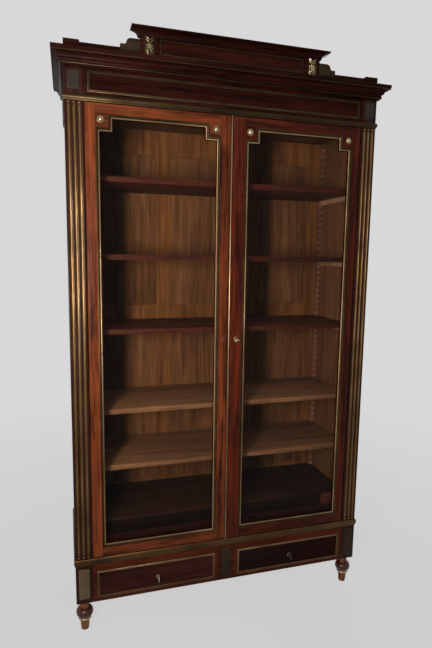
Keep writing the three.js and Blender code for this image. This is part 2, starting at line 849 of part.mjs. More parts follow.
// A pivot pin with a washer that fills the gap between the door and the carcase
function pivot(name, hand, low, high, gapFoot) {
  const profile = [
    [0, low], [pivotRadius, low],
    [pivotRadius, gapFoot + seatGap], [pivotWasherRadius, gapFoot + seatGap],
    [pivotWasherRadius, gapFoot + doorHeadGap - seatGap], [pivotRadius, gapFoot + doorHeadGap - seatGap],
    [pivotRadius, high], [0, high],
  ];
  place(name, turn(profile, keySides).translate(hand * pivotPlace, doorEdgeRadius, 0), brass);
}

function pivots() {
  const reach = pivotReach - seatGap;
  for (const [hand, word] of [[-1, 'left'], [1, 'right']]) {
    pivot(`pivot_${word}_bottom`, hand, doorFoot - reach, doorFoot + doorHeadGap + reach, doorFoot);
    const gapFoot = doorHead - doorHeadGap;
    pivot(`pivot_${word}_top`, hand, gapFoot - reach, doorHead + reach, gapFoot);
  }
}

// The half-round that covers the meeting line, fixed to the left door so that each opens alone
function astragal() {
  const radius = astragalWidth / 2;
  const middle = -meetingEdge - radius;
  const round = [];
  for (let i = 0; i <= astragalSteps; i += 1) {
    const angle = Math.PI * (i / astragalSteps);
    round.push([middle - radius * Math.cos(angle),
      -seatGap - (astragalOut - seatGap) * Math.sin(angle)]);
  }
  place('door_astragal', raise(round, doorFoot + doorHeadGap, doorHead - doorHeadGap), brass);
}

// Locks and keys
function bowShape() {
  const shape = new THREE.Shape();
  const hole = new THREE.Path();
  for (let i = 0; i < keyBowSteps; i += 1) {
    const angle = (2 * Math.PI * i) / keyBowSteps;
    const move = i === 0 ? 'moveTo' : 'lineTo';
    const x = (keyBowWidth / 2) * Math.cos(angle);
    const z = (keyBowHeight / 2) * Math.sin(angle);
    shape[move](x, z);
    hole[move](x * keyBowHoleShare, z * keyBowHoleShare);
  }
  shape.closePath();
  hole.closePath();
  shape.holes.push(hole);
  return shape;
}

// A key along Y: its bow in front of the face, and its bit behind, hanging from the shaft
function key(name, x, z, depth, tilt) {
  const bow = deepen(bowShape(), -keyBowThickness / 2, keyBowThickness / 2)
    .rotateX(Math.PI / 2)
    .rotateY(THREE.MathUtils.degToRad(tilt))
    .translate(0, -keyBowReach, 0);
  const neck = keyBowHeight / 2 - 2 * seatGap;
  const shaftFront = -keyBowReach + neck;
  const shaft = turnAlongY([
    [0, shaftFront], [keyShaftRadius, shaftFront],
    [keyShaftRadius, -keyCollarLength - seatGap], [keyCollarRadius, -keyCollarLength - seatGap],
    [keyCollarRadius, -seatGap], [keyShaftRadius, -seatGap],
    [keyShaftRadius, depth], [0, depth],
  ], keySides);
  const bit = block(-keyBitWidth / 2, keyBitWidth / 2, depth - keyBitLength, depth - seatGap,
    -keyBitDrop, 0);
  place(name, join([bow, shaft, bit]).translate(x, 0, z), steel);
}

function doorLock() {
  const inner = meetingEdge + lockCaseSideMargin;
  const outer = inner + lockCaseWidth;
  const front = doorThickness + seatGap;
  const back = front + lockCaseDepth;
  const low = lockLevel - lockCaseHeight / 2;
  const high = lockLevel + lockCaseHeight / 2;
  const stock = block(inner, outer, front, back, low, high);
  const well = turnAlongY([
    [0, front - cutOverrun], [keyBitDrop + 2 * seatGap, front - cutOverrun],
    [keyBitDrop + 2 * seatGap, back - lockCaseWall], [0, back - lockCaseWall],
  ], keySides).translate(keyPlace, 0, lockLevel);
  const boltFront = front + lockCaseWall;
  const boltFoot = lockLevel + boltRise;
  const channel = block(inner - cutOverrun, inner + boltWidth + seatGap,
    boltFront - seatGap, boltFront + boltThickness + seatGap,
    boltFoot - seatGap, boltFoot + boltHeight + seatGap);
  place('door_lock', cut(stock, [well, channel]), brass);
  place('lock_bolt', block(inner, inner + boltWidth, boltFront, boltFront + boltThickness,
    boltFoot, boltFoot + boltHeight), steel);
  key('door_key', keyPlace, lockLevel, back - lockCaseWall - keyTipClearance, keyDoorTilt);
}

function drawerKeys() {
  const { middle, lock } = drawerFrontPlace();
  const depth = drawerFrontThickness + keyBitLength + keyTipClearance;
  key('base_drawer_key_left', -middle, lock, depth, keyDrawerTilt);
  key('base_drawer_key_right', middle, lock, depth, keyDrawerTilt);
}

// Inner drawers
function innerCase() {
  const foot = bottomBoardTop + seatGap;
  const clear = caseClearTop;
  const back = backFace - seatGap - caseBackGap;
  const end = sideInner - 2 * seatGap;
  const boards = [
    block(-end, end, caseFront, back, clear, caseTop),
    block(-caseWall / 2, caseWall / 2, caseFront, back, foot, clear + seatGap),
  ];
  for (const hand of [-1, 1]) {
    boards.push(sideBlock(hand, caseInner, caseInner + caseWall, caseFront, back,
      foot, clear + seatGap));
    boards.push(sideBlock(hand, caseInner, end, caseFront, caseFront + caseWall,
      foot, clear + seatGap));
  }
  place('inner_case', join(boards), mahogany);
}

function innerDrawer(name, hand) {
  const inner = caseWall / 2 + innerDrawerGap;
  const outer = caseInner - innerDrawerGap;
  const foot = bottomBoardTop + seatGap;
  const head = caseClearTop - innerDrawerGap;
  const face = caseFront + innerDrawerSetback;
  const back = backFace - innerDrawerBackGap;
  const stock = sideBlock(hand, inner, outer, face, back, foot, head);
  const hollow = sideBlock(hand, inner + innerDrawerWall, outer - innerDrawerWall,
    face + innerDrawerFrontThickness, back - innerDrawerWall,
    foot + innerDrawerWall, head + cutOverrun);
  const knob = turnAlongY([
    [0, face - knobReach], [knobTipRadius, face - knobReach], [knobRadius, face - knobRimReach],
    [knobRadius, face - knobBackReach], [knobStemRadius, face - knobStemLength],
    [knobStemRadius, face + seatGap], [0, face + seatGap],
  ], knobSides).translate(hand * (inner + outer) / 2, 0, (foot + head) / 2);
  place(name, join([cut(stock, [hollow]), knob]), mahogany);
}

// Racks and shelves
// A rack's outline in Y and Z: level seats cut into one edge, each with a slope that rises from it
function rackOutline(plain, toothed) {
  const inward = Math.sign(toothed - plain);
  const root = toothed - inward * rackToothDepth;
  const points = [[plain, rackFoot], [toothed, rackFoot], [toothed, rackSeatFoot]];
  for (let i = 0; i < rackSeats; i += 1) {
    const level = rackSeatFoot + i * rackPitch;
    points.push([root, level], [toothed, level + rackPitch]);
  }
  points.push([toothed, rackHead], [plain, rackHead]);
  return points;
}

// The two toothed strips at one end of the shelves, with the cleats that lie in their teeth
function rack(name, hand) {
  const outer = hand * (sideInner - seatGap);
  const edges = [outer, outer - hand * rackThickness].sort((a, b) => a - b);
  const frontTeeth = shelfFront + rackWidth;
  const strips = [
    widen(rackOutline(shelfFront, frontTeeth), ...edges),
    widen(rackOutline(rackBackPlace + rackWidth, rackBackPlace), ...edges),
  ];
  const frontRoot = frontTeeth - rackToothDepth;
  const backRoot = rackBackPlace + rackToothDepth;
  const cleats = shelfSeats.map((count) => {
    const seat = rackSeatFoot + count * rackPitch;
    return block(...edges, frontRoot - rackToothDepth / 2, backRoot + rackToothDepth / 2,
      seat, seat + cleatHeight);
  });
  place(name, join([...strips, ...cleats]), paleWood);
}

// A shelf board, notched at its four corners round the racks
function shelf(name, seatCount) {
  const foot = rackSeatFoot + seatCount * rackPitch + cleatHeight + seatGap;
  const outer = sideInner - shelfEndGap;
  const inner = sideInner - rackThickness - shelfRackGap;
  const back = backFace - shelfBackGap;
  const frontNotch = shelfFront + rackWidth + shelfRackGap;
  const backNotch = rackBackPlace - shelfRackGap;
  place(name, raise([
    [-inner, shelfFront], [inner, shelfFront], [inner, frontNotch], [outer, frontNotch],
    [outer, backNotch], [inner, backNotch], [inner, back], [-inner, back],
    [-inner, backNotch], [-outer, backNotch], [-outer, frontNotch], [-inner, frontNotch],
  ], foot, foot + shelfThickness), paleWood);
}

side('side_left', -1);
side('side_right', 1);
post('post_left', -1);
post('post_right', 1);
carcaseBoards();
backBoards();
frieze();
architrave();
baseMoulding();
cornice();
pediment();
bracket('scroll_bracket_left', -1);
bracket('scroll_bracket_right', 1);
plaque('plaque_left', -1);
plaque('plaque_right', 1);
parapet('parapet_left', -1);
parapet('parapet_right', 1);
base();
baseDrawer('left', -1);
baseDrawer('right', 1);
feet();
doorFrame('door_frame_left', -1);
doorFrame('door_frame_right', 1);
doorGlass('door_glass_left', -1);
doorGlass('door_glass_right', 1);
doorBead('door_bead_left', -1);
doorBead('door_bead_right', 1);
pivots();
astragal();
doorLock();
drawerKeys();
innerCase();
innerDrawer('inner_drawer_left', -1);
innerDrawer('inner_drawer_right', 1);
rack('shelf_rack_left', -1);
rack('shelf_rack_right', 1);
shelfSeats.forEach((count, i) => shelf(`shelf_${i + 1}`, count));

export default bookcase;
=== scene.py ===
import json
import math

import bmesh
import bpy
from mathutils import Matrix, Vector

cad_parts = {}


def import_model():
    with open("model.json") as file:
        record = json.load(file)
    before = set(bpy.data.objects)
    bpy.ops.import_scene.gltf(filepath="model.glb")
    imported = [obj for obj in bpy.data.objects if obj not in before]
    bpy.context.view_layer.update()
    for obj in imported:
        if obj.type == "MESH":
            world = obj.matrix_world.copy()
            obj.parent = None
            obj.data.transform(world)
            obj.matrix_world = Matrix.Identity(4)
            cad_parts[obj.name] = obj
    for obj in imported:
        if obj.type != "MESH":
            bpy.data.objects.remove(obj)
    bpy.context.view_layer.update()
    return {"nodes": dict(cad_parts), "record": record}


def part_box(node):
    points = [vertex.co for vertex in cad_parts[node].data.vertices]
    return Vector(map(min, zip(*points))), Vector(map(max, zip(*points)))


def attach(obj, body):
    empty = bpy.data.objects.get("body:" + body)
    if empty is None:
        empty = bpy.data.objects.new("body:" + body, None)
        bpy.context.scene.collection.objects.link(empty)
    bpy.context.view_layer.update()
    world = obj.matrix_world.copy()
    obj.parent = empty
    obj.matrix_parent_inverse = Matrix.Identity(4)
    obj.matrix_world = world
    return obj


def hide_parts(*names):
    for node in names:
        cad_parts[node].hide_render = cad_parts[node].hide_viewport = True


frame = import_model()

MM = 0.001

# The bodies, and the body of every node
BODIES = frame["record"]["behaviour"]["bodies"]
BODY_OF = {node: body for body, nodes in BODIES.items() for node in nodes}

# Places read from the frame: a node's box is its low and its high corner
POST_LOW, POST_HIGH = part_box("post_right")
BEAD_LOW, BEAD_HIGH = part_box("door_bead_right")
DRAWER_BEAD_LOW, DRAWER_BEAD_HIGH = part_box("base_drawer_bead_right")
CORNICE_LOW, CORNICE_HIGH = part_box("cornice")
ARCHITRAVE_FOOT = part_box("architrave_moulding")[0].z
BASE_MOULDING_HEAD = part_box("base_moulding")[1].z
BASE_FLOOR_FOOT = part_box("base_floor")[0].z
DOOR_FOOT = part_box("door_frame_right")[0].z
SIDE_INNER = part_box("side_right")[0].x
RACK_LOW, RACK_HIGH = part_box("shelf_rack_right")
KNOB_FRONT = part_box("inner_drawer_right")[0].y
INNER_DRAWER_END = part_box("inner_drawer_right")[1].x
INNER_DRAWER_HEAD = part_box("inner_drawer_right")[1].z
CASE_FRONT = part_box("inner_case")[0].y
FRONT = POST_LOW.y
POST_MIDDLE = (POST_LOW.x + POST_HIGH.x) / 2

# Seats, seams and edges; angles in degrees
SEAT = 0.3 * MM
BEAD_SEAT = 0.1 * MM
EDGE_SOFTNESS = 0.9 * MM
TRIM_SOFTNESS = 0.3 * MM
BACK_FRAME_SOFTNESS = 0.4 * MM
POST_SOFTNESS = 0.5 * MM
SHARP_ANGLE = 30
SMOOTH_ANGLE = 35
BEAD_SMOOTH_ANGLE = 50
SEAM_MERGE = 0.01 * MM
SPIN_MERGE = 0.005 * MM
FLAT_ANGLE = 0.5

# Beads of the doors, the frieze, the drawers and the crowning
BEAD_NOTCH = 49 * MM
FRIEZE_BEAD_WIDTH = 11 * MM
DRAWER_BEAD_WIDTH = 9.5 * MM
PEDIMENT_BEAD_HALF = 306 * MM
PEDIMENT_BEAD_FOOT = 19 * MM
PEDIMENT_BEAD_HEAD = 77 * MM
PEDIMENT_BEAD_WIDTH = 6 * MM
PEDIMENT_BEAD_PROUD = 2.4 * MM
PEDIMENT_PANEL_RECESS = 4 * MM

# Brass linings of the flutes, with a ball beyond each end
FLUTE_SPACING = 20 * MM
FLUTE_RADIUS = 6.1 * MM
FLUTE_DEPTH_SHARE = 0.72
FLUTE_WALL = 0.5 * MM
FLUTE_PROUD = 0.2 * MM
FLUTE_END = 14 * MM
FLUTE_BALL = 5.4 * MM
FLUTE_BALL_REACH = 5.9 * MM
FLUTE_BALL_DEPTH_SHARE = 0.7
FLUTE_BALL_PROUD = 0.5 * MM

# Rosettes, escutcheons and the plug; profiles are shares of a radius or a width, and of a height
ROSETTE_RADIUS = 13.5 * MM
ROSETTE_PROUD = 10 * MM
ROSETTE_INSET = 20 * MM
ROSETTE_RING = ((1.0, 0.0), (1.0, 0.12), (0.96, 0.2), (0.88, 0.22), (0.82, 0.14))
ROSETTE_DOME_SHARE = 0.78
ROSETTE_DOME_FOOT_SHARE = 0.14
DOOR_ESCUTCHEON = (18 * MM, 27 * MM)
DOOR_PLUG = (16 * MM, 26 * MM)
DRAWER_ESCUTCHEON = (17 * MM, 17 * MM)
ESCUTCHEON_PROUD = 1.6 * MM
ESCUTCHEON_PROFILE = ((0.5, 0.0), (0.5, 0.5), (0.42, 0.9), (0.3, 1.0), (0.22, 0.8), (0.22, 0.0),
                      (0.5, 0.0))
PLUG_PROFILE = ((0.5, 0.0), (0.5, 0.5), (0.4, 0.9), (0.0, 1.0))
LOCK_RISE = 927.5 * MM

# Reeded plates on the posts and on the middle stile
FRIEZE_PLATE_WIDTH = 45 * MM
FRIEZE_PLATE_HEIGHT = 68 * MM
FRIEZE_PLATE_FOOT = 39 * MM
BASE_PLATE_WIDTH = 45 * MM
BASE_CENTRE_PLATE_WIDTH = 43 * MM
BASE_PLATE_HEIGHT = 138 * MM
BASE_PLATE_FOOT = 21 * MM
PLATE_THICKNESS = 1.8 * MM
PLATE_REEDS = 7
PLATE_REED_SHARE = 0.86
PLATE_REED_DEPTH_SHARE = 0.14

# The brass line of the cornice
FILLET_FOOT = 18.6 * MM
FILLET_HEIGHT = 6.2 * MM
FILLET_PROUD = 1.2 * MM
FILLET_SETBACK = 3 * MM

# Turned feet, with heights over the floor and radii
FOOT_NECK = 19 * MM
FOOT_BULB_TOP = 105 * MM
FOOT_BULB_FOOT = 62 * MM
FOOT_RING_FOOT = 50 * MM
FOOT_RING_ROOT = 18 * MM
FOOT_RING_NECK = 22 * MM
FOOT_RING_PROUD = 6 * MM
FOOT_TOE = 20 * MM
FOOT_TIP = 17 * MM
FOOT_TIP_ROUND = 7 * MM

# Plaques: a ground, a flower with leaves round it and sprays above and below
PLAQUE_PLATE = 2 * MM
PLAQUE_FLOWER = 7 * MM
PLAQUE_FLOWER_PROUD = 6 * MM
PLAQUE_FLOWER_PROFILE = ((1.0, 0.0), (0.94, 0.42), (0.57, 0.54), (0.48, 0.83), (0.0, 1.0))
PLAQUE_LEAVES = 8
PLAQUE_LEAF = (6 * MM, 3 * MM, 2.8 * MM)
PLAQUE_LEAF_REACH = 11 * MM
PLAQUE_SPRAY = (11 * MM, 4 * MM, 3 * MM)
PLAQUE_SPRAY_REACH = 10 * MM
PLAQUE_SPRAY_LEVELS = (-32 * MM, -23 * MM, 15 * MM, 24 * MM)
PLAQUE_SPRAY_RISE = 38

# Depths at which one wood gives way to another
BASE_DRAWER_FRONT = 22 * MM
INNER_DRAWER_FRONT = 34 * MM
CASE_EDGE = 1 * MM
SIDE_SKIN = 5 * MM
RACK_WIDTH = 30 * MM
TIP_DEPTH = 3.4 * MM

# The camera, as found from the straight edges of the bookcase
CAMERA_PLACE = (-0.67673, FRONT - 2.06815, 1.63453)
CAMERA_HEADING = -16.51
CAMERA_TILT = 82.35
CAMERA_ROLL = 0.796
CAMERA_LENS = 28
CAMERA_SENSOR = 36
CAMERA_NEAR = 0.1
CAMERA_FAR = 60


# Meshes

def finish_piece(name, mesh, materials, body, replaced=(), smooth_angle=SMOOTH_ANGLE):
    """Makes the piece, lets it ride on its body and hides the nodes that it replaces."""
    for polygon in mesh.polygons:
        polygon.use_smooth = True
    mesh.set_sharp_from_angle(angle=math.radians(smooth_angle))
    piece = bpy.data.objects.new(name, mesh)
    bpy.context.scene.collection.objects.link(piece)
    for material in materials:
        mesh.materials.append(material)
    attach(piece, body)
    if replaced:
        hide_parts(*replaced)


def mesh_from(name, bm):
    bmesh.ops.recalc_face_normals(bm, faces=bm.faces[:])
    mesh = bpy.data.meshes.new(name)
    bm.to_mesh(mesh)
    bm.free()
    return mesh


def soften(bm, width):
    """Wears every sharp edge round."""
    sharp = [e for e in bm.edges
             if len(e.link_faces) == 2 and e.calc_face_angle(0) > math.radians(SHARP_ANGLE)]
    bmesh.ops.bevel(bm, geom=sharp, offset=width, offset_type="OFFSET", affect="EDGES",
                    segments=2, profile=0.5, material=-1, clamp_overlap=True)


def softened_node(name, material, width):
    """A copy of a node whose edges are worn round, in place of the node."""
    bm = bmesh.new()
    bm.from_mesh(frame["nodes"][name].data)
    bmesh.ops.remove_doubles(bm, verts=bm.verts[:], dist=SEAM_MERGE)
    bmesh.ops.dissolve_limit(bm, angle_limit=math.radians(FLAT_ANGLE), verts=bm.verts[:],
                             edges=bm.edges[:])
    if width:
        soften(bm, width)
    mesh = bpy.data.meshes.new(name + "_worn")
    bm.to_mesh(mesh)
    bm.free()
    finish_piece(name + "_worn", mesh, [material], BODY_OF[name], [name])


def block(bm, low, high):
    size = Vector(high) - Vector(low)
    middle = (Vector(high) + Vector(low)) / 2
    verts = bmesh.ops.create_cube(bm, size=1)["verts"]
    bmesh.ops.scale(bm, vec=size, verts=verts)
    bmesh.ops.translate(bm, vec=middle, verts=verts)


def turned(bm, profile, centre, axis, steps):
    """Spins [radius, height] points about an axis through centre; heights run along the axis."""
    turn = Vector((0, 0, 1)).rotation_difference(Vector(axis)).to_matrix()
    verts = [bm.verts.new(Vector(centre) + turn @ Vector((radius, 0, height)))
             for radius, height in profile]
    edges = [bm.edges.new(pair) for pair in zip(verts, verts[1:])]
    bmesh.ops.spin(bm, geom=verts + edges, cent=centre, axis=axis, angle=math.tau,
                   steps=steps, use_merge=True)
    bmesh.ops.remove_doubles(bm, verts=bm.verts[:], dist=SPIN_MERGE)


def half_round(root, out, foot, head, steps):
    """[radius, height] points of a rounded nose between two heights."""
    middle, half = (foot + head) / 2, (head - foot) / 2
    angles = (math.pi * (i / steps - 0.5) for i in range(steps + 1))
    return [(root + (out - root) * math.cos(a), middle + half * math.sin(a)) for a in angles]


def quarter_turn(steps):
    """Angles from 0 to 90 degrees."""
    return [math.pi / 2 * i / steps for i in range(steps + 1)]


def scaled(profile, radius, height):
    """The real [radius, height] points of a profile that is given in shares of both."""
    return [(share * radius, rise * height) for share, rise in profile]


# Colours, shader nodes and groups

def linear(red, green, blue):
    """A screen colour from 0 to 255 as the shader's linear colour."""
    def channel(value):
        value /= 255
        return value / 12.92 if value <= 0.04045 else ((value + 0.055) / 1.055) ** 2.4
    return (channel(red), channel(green), channel(blue), 1)


def new_group(name, inputs, outputs):
    group = bpy.data.node_groups.new(name, "ShaderNodeTree")
    for label, kind, value in inputs:
        socket = group.interface.new_socket(label, in_out="INPUT", socket_type=kind)
        if value is not None:
            socket.default_value = value
    for label, kind in outputs:
        group.interface.new_socket(label, in_out="OUTPUT", socket_type=kind)
    return group, group.nodes.new("NodeGroupInput"), group.nodes.new("NodeGroupOutput")


def node(tree, kind, links=None, **settings):
    """A new node. What goes into a socket is another node's output or a constant."""
    made = tree.nodes.new(kind)
    for key, value in settings.items():
        setattr(made, key, value)
    for socket, value in (links or {}).items():
        target = made.inputs[socket]
        if isinstance(value, bpy.types.NodeSocket):
            tree.links.new(value, target)
        else:
            target.default_value = value
    return made


def math_node(tree, operation, first, second=0.0):
    return node(tree, "ShaderNodeMath", {0: first, 1: second}, operation=operation).outputs[0]


def mix_value(tree, factor, first, second):
    return node(tree, "ShaderNodeMix", {0: factor, 2: first, 3: second},
                data_type="FLOAT").outputs[0]


def mix_colour(tree, factor, first, second):
    return node(tree, "ShaderNodeMix", {0: factor, 6: first, 7: second},
                data_type="RGBA").outputs[2]


# The figure of wood: how it is drawn out along the grain, how it wanders, and what adds up to it
GRAIN_STRETCH = (1.0, 1.0, 0.05)
PORE_STRETCH = (1.0, 1.0, 0.025)
GRAIN_WANDER = (0.05, 0.05, 0.0)
RING_SHARE = 0.8
BROAD_SHARE = 0.25
FLAME_SHARE = 0.2


def build_wood_figure():
    """Growth rings, streaks and pores on coordinates whose Z runs along the grain."""
    group, given, out = new_group("wood figure", [
        ("Vector", "NodeSocketVector", None),
        ("Figure", "NodeSocketFloat", 1.0),
    ], [("Tone", "NodeSocketFloat"), ("Pores", "NodeSocketFloat"), ("Wear", "NodeSocketFloat")])
    long_grain = node(group, "ShaderNodeMapping", {"Vector": given.outputs["Vector"],
                                                   "Scale": GRAIN_STRETCH})
    wander = node(group, "ShaderNodeTexNoise", {"Vector": given.outputs["Vector"], "Scale": 2.2,
                                                "Detail": 2.0})
    bent = node(group, "ShaderNodeVectorMath", {0: wander.outputs["Color"], 1: GRAIN_WANDER},
                operation="MULTIPLY")
    path = node(group, "ShaderNodeVectorMath", {0: long_grain.outputs[0], 1: bent.outputs[0]},
                operation="ADD")
    rings = node(group, "ShaderNodeTexNoise", {"Vector": path.outputs[0], "Scale": 42.0,
                                               "Detail": 5.0, "Roughness": 0.72,
                                               "Distortion": 0.4})
    broad = node(group, "ShaderNodeTexNoise", {"Vector": path.outputs[0], "Scale": 7.0,
                                               "Detail": 2.0})
    flame = node(group, "ShaderNodeTexNoise", {"Vector": given.outputs["Vector"], "Scale": 3.1,
                                               "Detail": 3.0, "Distortion": 1.4})
    flamed = math_node(group, "MULTIPLY", flame.outputs[0], given.outputs["Figure"])
    mixed = math_node(group, "ADD", math_node(group, "MULTIPLY", rings.outputs[0], RING_SHARE),
                      math_node(group, "MULTIPLY", broad.outputs[0], BROAD_SHARE))
    tone = math_node(group, "ADD", mixed, math_node(group, "MULTIPLY", flamed, FLAME_SHARE))
    spread = node(group, "ShaderNodeMapRange", {"Value": tone, "From Min": 0.47, "From Max": 0.73})
    group.links.new(spread.outputs[0], out.inputs["Tone"])
    pore_path = node(group, "ShaderNodeMapping", {"Vector": given.outputs["Vector"],
                                                  "Scale": PORE_STRETCH})
    pores = node(group, "ShaderNodeTexNoise", {"Vector": pore_path.outputs[0], "Scale": 380.0,
                                               "Detail": 3.0, "Roughness": 0.6})
    marks = node(group, "ShaderNodeMapRange", {"Value": pores.outputs[0], "From Min": 0.5,
                                               "From Max": 0.68})
    group.links.new(marks.outputs[0], out.inputs["Pores"])
    worn = node(group, "ShaderNodeTexNoise", {"Vector": given.outputs["Vector"], "Scale": 9.0,
                                              "Detail": 6.0, "Roughness": 0.7})
    group.links.new(worn.outputs[0], out.inputs["Wear"])
    return group


def build_metal_age():
    """Patches of tarnish and fine scratches."""
    group, given, out = new_group("metal age", [("Vector", "NodeSocketVector", None)],
                                  [("Tarnish", "NodeSocketFloat"), ("Scratch", "NodeSocketFloat")])
    blotches = node(group, "ShaderNodeTexNoise", {"Vector": given.outputs["Vector"], "Scale": 8.0,
                                                  "Detail": 3.0, "Roughness": 0.5})
    spread = node(group, "ShaderNodeMapRange", {"Value": blotches.outputs[0], "From Min": 0.3,
                                                "From Max": 0.75})
    group.links.new(spread.outputs[0], out.inputs["Tarnish"])
    fine = node(group, "ShaderNodeTexNoise", {"Vector": given.outputs["Vector"], "Scale": 420.0,
                                              "Detail": 3.0})
    group.links.new(fine.outputs[0], out.inputs["Scratch"])
    return group


WOOD_FIGURE = build_wood_figure()
METAL_AGE = build_metal_age()

# The turn that brings the direction of the grain onto the Z axis of the figure
GRAIN_TURN = {"x": (0, math.pi / 2, 0), "z": (0, 0, 0)}

# How boards differ: the share of an offset that runs sideways, and a rail's offset to its stile
OFFSET_SKEW = 0.7
RAIL_OFFSET = 1.3

# Pores, and how much rougher the worn places are than the polished ones
PORE_SHARE = 0.5
PORE_DARKNESS = 0.4
WOOD_WEAR = 0.16
METAL_WEAR = 0.22


def new_material(name):
    material = bpy.data.materials.new(name)
    material.use_nodes = True
    tree = material.node_tree
    tree.nodes.clear()
    surface = tree.nodes.new("ShaderNodeBsdfPrincipled")
    output = tree.nodes.new("ShaderNodeOutputMaterial")
    tree.links.new(surface.outputs[0], output.inputs["Surface"])
    place = tree.nodes.new("ShaderNodeTexCoord").outputs["Object"]
    return material, tree, surface, output, place


def grain(tree, place, direction, offset, figure=1.0):
    """The figure of one board; the offset says which part of the pattern it is cut from."""
    shift = (offset, offset * OFFSET_SKEW, offset)
    turned_place = node(tree, "ShaderNodeMapping", {"Vector": place, "Location": shift,
                                                    "Rotation": GRAIN_TURN[direction]})
    made = node(tree, "ShaderNodeGroup", node_tree=WOOD_FIGURE)
    tree.links.new(turned_place.outputs[0], made.inputs["Vector"])
    made.inputs["Figure"].default_value = figure
    return made


# Masks: 1 at some places of the bookcase and 0 elsewhere

def above(tree, value, limit):
    return math_node(tree, "GREATER_THAN", value, limit)


def below(tree, value, limit):
    return math_node(tree, "LESS_THAN", value, limit)


def overlap(tree, first, second):
    return math_node(tree, "MULTIPLY", first, second)


def within(tree, value, low, high):
    return overlap(tree, above(tree, value, low), below(tree, value, high))


def from_middle(tree, spot):
    """The distance to the middle of the bookcase, on either hand."""
    return math_node(tree, "ABSOLUTE", spot.outputs["X"])


def inside_of_sides(tree, spot):
    """The inner faces of the two sides."""
    return below(tree, from_middle(tree, spot), SIDE_INNER + SIDE_SKIN)


def inside_drawer_bead(tree, spot):
    """The front of a base drawer inside its bead."""
    return overlap(tree,
                   within(tree, from_middle(tree, spot), DRAWER_BEAD_LOW.x, DRAWER_BEAD_HIGH.x),
                   within(tree, spot.outputs["Z"], DRAWER_BEAD_LOW.z, DRAWER_BEAD_HIGH.z))


def behind_base_front(tree, spot):
    return above(tree, spot.outputs["Y"], FRONT + BASE_DRAWER_FRONT)


def behind_inner_front(tree, spot):
    return above(tree, spot.outputs["Y"], KNOB_FRONT + INNER_DRAWER_FRONT)


def ends_of_case(tree, spot):
    """The front edges of the inner case's two ends, beside its drawers."""
    end = overlap(tree, above(tree, from_middle(tree, spot), INNER_DRAWER_END),
                  below(tree, spot.outputs["Z"], INNER_DRAWER_HEAD))
    return overlap(tree, end, below(tree, spot.outputs["Y"], CASE_FRONT + CASE_EDGE))


def cleats(tree, spot):
    """The cleats, which run between the front and back strips with their facing teeth."""
    return within(tree, spot.outputs["Y"], RACK_LOW.y + RACK_WIDTH + SEAT,
                  RACK_HIGH.y - RACK_WIDTH - SEAT)


def tips_of_teeth(tree, spot):
    """The tips of the back strip's teeth, paler as wear and as a painted highlight."""
    tip = RACK_HIGH.y - RACK_WIDTH
    return within(tree, spot.outputs["Y"], tip - SEAT, tip + TIP_DEPTH)


def door_boards(tree, place, spot, offset, upright, tones):
    """The tone and pores of a door: its grain runs up the stiles and along the rails, and tones
    says how much paler the meeting stile, the pivot stile and the rails are."""
    across = from_middle(tree, spot)
    level = grain(tree, place, "x", offset + RAIL_OFFSET)
    between_stiles = within(tree, across, BEAD_LOW.x, BEAD_HIGH.x)
    beside_glass = within(tree, spot.outputs["Z"], BEAD_LOW.z, BEAD_HIGH.z - BEAD_NOTCH)
    rail = overlap(tree, between_stiles, math_node(tree, "SUBTRACT", 1.0, beside_glass))
    tone = mix_value(tree, rail, upright.outputs["Tone"], level.outputs["Tone"])
    pores = mix_value(tree, rail, upright.outputs["Pores"], level.outputs["Pores"])
    boards = (below(tree, across, BEAD_LOW.x), above(tree, across, BEAD_HIGH.x), rail)
    for board, paler in zip(boards, tones):
        tone = math_node(tree, "ADD", tone, math_node(tree, "MULTIPLY", board, paler))
    return tone, pores


# Finishes

def wood(name, dark, light, direction, offset=0.0, figure=1.0, gloss=0.28, specular=0.09,
         door_tones=None, patches=()):
    """Polished wood. Each of the patches is (mask, dark, light): there the wood is another."""
    material, tree, surface, _, place = new_material(name)
    made = grain(tree, place, direction, offset, figure)
    tone, pores, wear = (made.outputs[label] for label in ("Tone", "Pores", "Wear"))
    spot = node(tree, "ShaderNodeSeparateXYZ", {0: place})
    if door_tones:
        tone, pores = door_boards(tree, place, spot, offset, made, door_tones)
    colour = mix_colour(tree, tone, linear(*dark), linear(*light))
    for mask, patch_dark, patch_light in patches:
        patch = mix_colour(tree, tone, linear(*patch_dark), linear(*patch_light))
        colour = mix_colour(tree, mask(tree, spot), colour, patch)
    pore_share = math_node(tree, "MULTIPLY", pores, PORE_SHARE)
    pore_colour = linear(*[value * PORE_DARKNESS for value in dark])
    shade = mix_colour(tree, pore_share, colour, pore_colour)
    tree.links.new(shade, surface.inputs["Base Color"])
    rough = node(tree, "ShaderNodeMapRange", {"Value": wear, "From Min": 0.3, "From Max": 0.7,
                                              "To Min": gloss, "To Max": gloss + WOOD_WEAR})
    tree.links.new(rough.outputs[0], surface.inputs["Roughness"])
    bump = node(tree, "ShaderNodeBump", {"Strength": 0.12, "Distance": 0.4 * MM,
                                         "Height": math_node(tree, "SUBTRACT", wear, pore_share)})
    tree.links.new(bump.outputs[0], surface.inputs["Normal"])
    surface.inputs["Specular IOR Level"].default_value = specular
    return material


